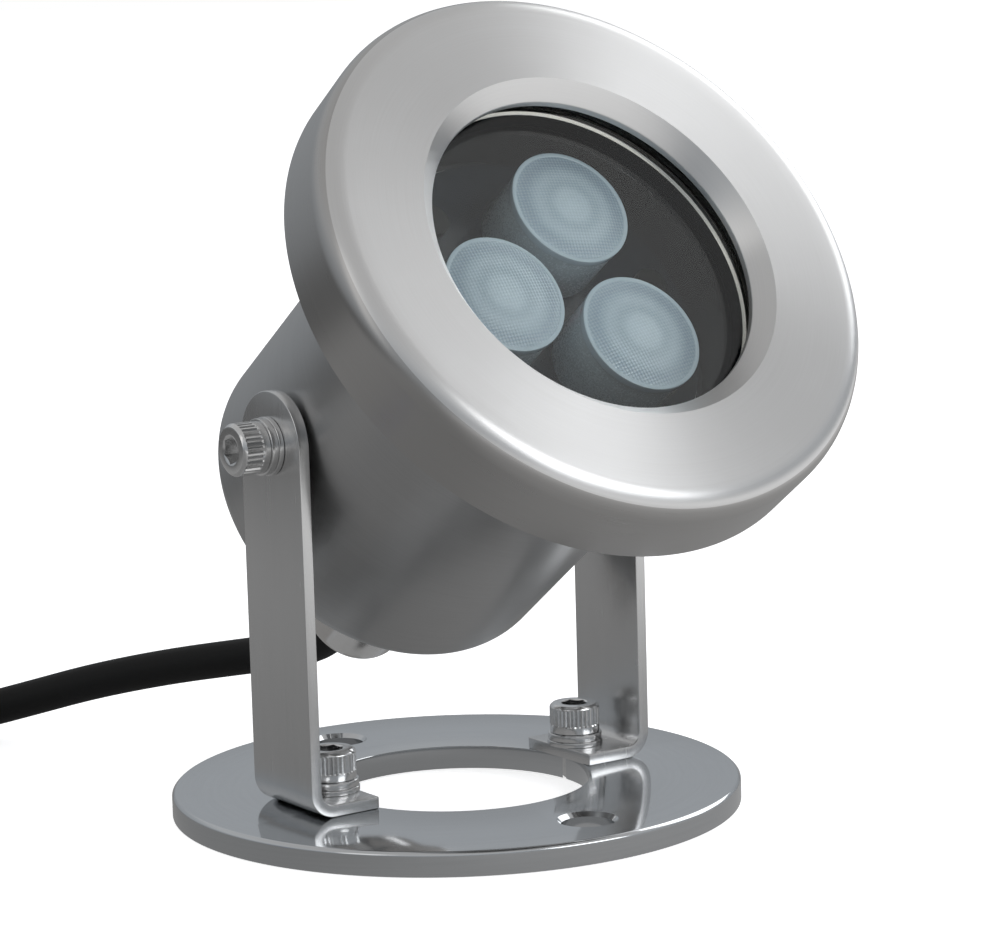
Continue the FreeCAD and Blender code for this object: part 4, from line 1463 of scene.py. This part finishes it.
# --- head: gland ------------------------------------------------------------------------------------------
@dataclass
class Gland:
    """The cable gland on the housing's rear."""

    shop: Workshop
    offset: float = -11.1 * MM
    flats: float = 19.0 * MM
    housing_rear: float = -24.5 * MM
    washer_rear: float = -26.0 * MM
    hex_rear: float = -31.5 * MM
    dome_front: float = -31.7 * MM
    dome_hex_rear: float = -38.2 * MM
    end: float = -47.4 * MM
    dome_radius: float = 9.3 * MM
    dome_round: float = 2.6 * MM
    mouth: float = 4.2 * MM
    thread: float = 7.6 * MM
    thread_length: float = 9.0 * MM
    body_bore: float = 3.6 * MM
    seal_bore: float = 5.5 * MM

    def _hexagon(self, name: str, low: float, high: float) -> bpy.types.Object:
        """Models a hexagonal prism whose corners are turned off at both ends.

        Args:
            name: The prism's name.
            low: The height of its lower face.
            high: The height of its upper face.

        Returns:
            The prism.
        """
        corner, half, turn = self.flats / math.sqrt(3), self.flats / 2, 0.8 * MM
        prism = rod(name, corner, low, high, sides=6)
        blank = [(half, low), (corner, low + turn), (corner, high - turn), (half, high)]
        carve(prism, turned("blank", blank, 96), "INTERSECT")
        return bevel_edges(prism, 0.15 * MM, 2, 28)

    def _place(
        self, obj: bpy.types.Object, node: str, finish: str = "gland_nickel", slot: str = "gland_metal"
    ) -> None:
        """Moves a piece to the gland's axis and hands it over."""
        self.shop.fit_head(moved(obj, shift(y=self.offset)), slot, finish, node, 28)

    def build(self) -> None:
        """Models the washer, the body, the dome nut and its seal."""
        washer, bore, end = self.washer_rear, self.body_bore, self.washer_rear + self.thread_length
        body = self._hexagon("gland_body_hex", self.hex_rear, washer)
        carve(body, rod("bore", bore, self.hex_rear - CLEAR, washer + CLEAR))
        wall = [(bore, end), (self.thread, end), (self.thread, washer), (bore, washer)]
        self._place(joined("gland_body_piece", [body, turned("thread", wall, closed=True)]), "gland_body")

        nut = self._hexagon("gland_nut_hex", self.dome_hex_rear, self.dome_front)
        carve(nut, rod("bore", self.thread - 0.2 * MM, self.dome_hex_rear - CLEAR, self.dome_front + CLEAR))
        r, low, fillet = self.dome_radius, self.end, self.dome_round
        mouth, narrow = self.mouth, self.seal_bore
        top, lip, seat = self.dome_hex_rear + 0.3 * MM, low + 0.3 * MM, low + 6.4 * MM
        edge = arc((r - fillet, low + fillet), fillet, 0, -90, 10)
        inside = [(mouth + 0.3 * MM, low), (mouth, lip), (mouth, seat), (narrow, seat), (narrow, top)]
        dome = turned("dome", [(r, top), (r, top - 1.5 * MM), *edge, *inside], closed=True)
        self._place(joined("gland_nut_piece", [nut, dome]), "gland_dome_nut")

        rubber = ("seal_rubber_black", "seal_rubber")
        seal = flat_ring("gland_seal_lip", (3.25 * MM, mouth), (lip, seat), 0.2 * MM, SMALL_SIDES)
        self._place(seal, "gland_seal", *rubber)
        radii, heights = (self.thread, self.flats / 2), (washer, self.housing_rear)
        ring = flat_ring("gland_rear_washer", radii, heights, 0.3 * MM, SMALL_SIDES * 2)
        self._place(ring, "gland_washer", *rubber)


# --- head: what stays from the frame ----------------------------------------------------------------------
@dataclass
class InnerWorks:
    """The parts inside the lamp, whose shapes are the frame's own, each with its finish."""

    shop: Workshop
    finishes: dict[str, str] = field(
        default_factory=lambda: {
            "led_board": "board_mask",
            "leds": "led_dome",
            "heat_sink": "sink_milled",
            "board_screws": "screw_black",
            "driver_board": "driver_mask_green",
            "driver_capacitors": "part_case",
            "driver_inductor": "part_case",
            "driver_chip": "part_case",
            "terminal_block": "terminal_green",
            "driver_standoffs": "gland_nickel",
            "driver_screws": "screw_bright",
            "led_wire_red": "wire_red",
            "led_wire_black": "wire_black",
            "core_brown": "wire_brown",
            "core_blue": "wire_blue",
            "gland_locknut": "gland_nickel",
            "cable_inlet": "cable_jacket",
        }
    )

    def build(self) -> None:
        """Dresses each part."""
        for node, finish in self.finishes.items():
            self.shop.dress(node, finish)


# --- studio -----------------------------------------------------------------------------------------------
@dataclass(frozen=True)
class SoftBox:
    """A soft area light."""

    name: str
    place: Spot
    target: Spot
    size: Point
    power: float
    colour: Spot = (1.0, 1.0, 1.0)

    def make(self) -> None:
        """Hangs the light and points it at its target."""
        light = bpy.data.lights.new(self.name, "AREA")
        light.shape = "RECTANGLE"
        light.size, light.size_y = self.size
        light.energy = self.power
        light.color = self.colour
        obj = linked(bpy.data.objects.new(self.name, light))
        obj.location = self.place
        obj.rotation_euler = (Vector(self.target) - Vector(self.place)).to_track_quat("-Z", "Y").to_euler()


@dataclass
class Studio:
    """The camera, the pale floor and the soft light."""

    camera_place: Spot = (-304.28 * MM, -447.47 * MM, 138.30 * MM)
    camera_right: Spot = (0.81497, -0.57883, -0.02806)
    camera_up: Spot = (0.10882, 0.10530, 0.98847)
    camera_back: Spot = (-0.56920, -0.80862, 0.14881)
    lens: float = 119.34
    floor_radius: float = 14.0
    floor_drop: float = 0.1 * MM
    # the shades of the painted reflection that the steel sees in the floor, by place from back left to front
    # right
    card: tuple[Point, ...] = ((0, 0.13), (0.22, 0.32), (0.48, 0.25), (0.55, 0.36), (0.62, 0.46), (0.80, 1.0))
    sky_levels: tuple[tuple[float, ...], ...] = (
        (0, 0.22, -0.03), (0.08, 0.34, -0.05), (0.28, 0.42, -0.05),
        (0.55, 0.55, -0.02), (0.80, 0.52), (1, 0.50),
    )
    lights: tuple[SoftBox, ...] = (
        SoftBox("key_box", (2.04, 0.22, 1.42), (0, 0, 0.08), (1.5, 1.5), 13.5, (0.97, 0.985, 1.0)),
        SoftBox("fill_box", (-1.1, -0.3, 0.7), (0, 0, 0.06), (0.4, 0.8), 0.5, (1.0, 0.97, 0.93)),
        SoftBox("front_box", (0.46, -1.20, 0.76), (0, 0, 0.08), (0.8, 0.6), 4.0, (0.97, 0.985, 1.0)),
    )

    def camera(self) -> None:
        """Sets the camera up."""
        data = bpy.data.cameras.new("camera")
        data.lens = self.lens
        data.sensor_width = 36.0
        data.clip_start, data.clip_end = 0.01, 100.0
        obj = linked(bpy.data.objects.new("camera", data))
        turn = Matrix((self.camera_right, self.camera_up, self.camera_back)).transposed().to_4x4()
        obj.matrix_world = Matrix.Translation(self.camera_place) @ turn
        bpy.context.scene.camera = obj

    def floor(self) -> None:
        """Lays the plain pale floor; glossy rays see a painted reflection on it instead: a glowing grey card
        whose shade is painted by place, dark to the back left, dipping near the lamp and bright to the front
        right.
        """
        clear_selection()
        bpy.ops.mesh.primitive_circle_add(
            vertices=96, radius=self.floor_radius, fill_type="NGON", location=(0, 0, -self.floor_drop)
        )
        floor = settle(name_new("floor"))
        sheet, shader, output = new_material("floor_paper")
        rays = sheet.node("ShaderNodeLightPath").outputs
        sheet.feed(shader, {"Base Color": (0.93, 0.93, 0.94, 1), "Roughness": 0.9, "Emission Color": WHITE})
        sheet.feed(shader, {"Emission Strength": sheet.times(rays["Is Camera Ray"], 0.7)})
        # painted reflection: glossy rays see a glowing grey card in place of the floor, its shade painted by
        # place
        x, y, _ = sheet.split(sheet.node("ShaderNodeTexCoord").outputs["Object"])
        nearness = sheet.sum("SUBTRACT", sheet.times(x, 0.6), sheet.times(y, 0.8))
        colour = sheet.graded(sheet.plus(nearness, 0.5), self.card)
        painted_reflection_card = sheet.node("ShaderNodeEmission", {"Color": colour})
        show_mix(sheet, rays["Is Glossy Ray"], shader, painted_reflection_card, output)
        floor.data.materials.append(bpy.data.materials["floor_paper"])

    def sky(self) -> None:
        """Surrounds the lamp with soft light that darkens towards the horizon."""
        world = bpy.data.worlds.new("studio")
        bpy.context.scene.world = world
        world.use_nodes = True
        world.node_tree.nodes.clear()
        sheet = Sheet(world.node_tree)
        height = sheet.split(sheet.node("ShaderNodeTexCoord").outputs["Generated"])[2]
        seen = sheet.node("ShaderNodeLightPath").outputs["Is Camera Ray"]
        colour = sheet.blend(seen, sheet.graded(height, self.sky_levels), WHITE)
        background = sheet.node("ShaderNodeBackground", {"Color": colour, "Strength": 1.0})
        sheet.node("ShaderNodeOutputWorld", {"Surface": background.outputs[0]})

    def build(self) -> None:
        """Sets up everything but the camera, which comes first of all."""
        self.floor()
        self.sky()
        for light in self.lights:
            light.make()
        bpy.context.scene.view_settings.view_transform = "Standard"


# --- the whole lamp ---------------------------------------------------------------------------------------
def main() -> None:
    """Builds the lamp round its frame."""
    logging.basicConfig(level=logging.INFO, format="%(name)s: %(message)s")
    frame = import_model()
    studio = Studio()
    studio.camera()
    shop = Workshop(frame, Finishes(Effects()))
    Cable().build(shop)
    stand = Stand(shop)
    stand.build()
    Fasteners(shop, stand.arm_outer, stand.base_screw_x, stand.foot_top).build()
    Shell(shop).build()
    LightEngine(shop).build()
    Gland(shop).build()
    InnerWorks(shop).build()
    studio.build()


if __name__ == "__main__":
    main()
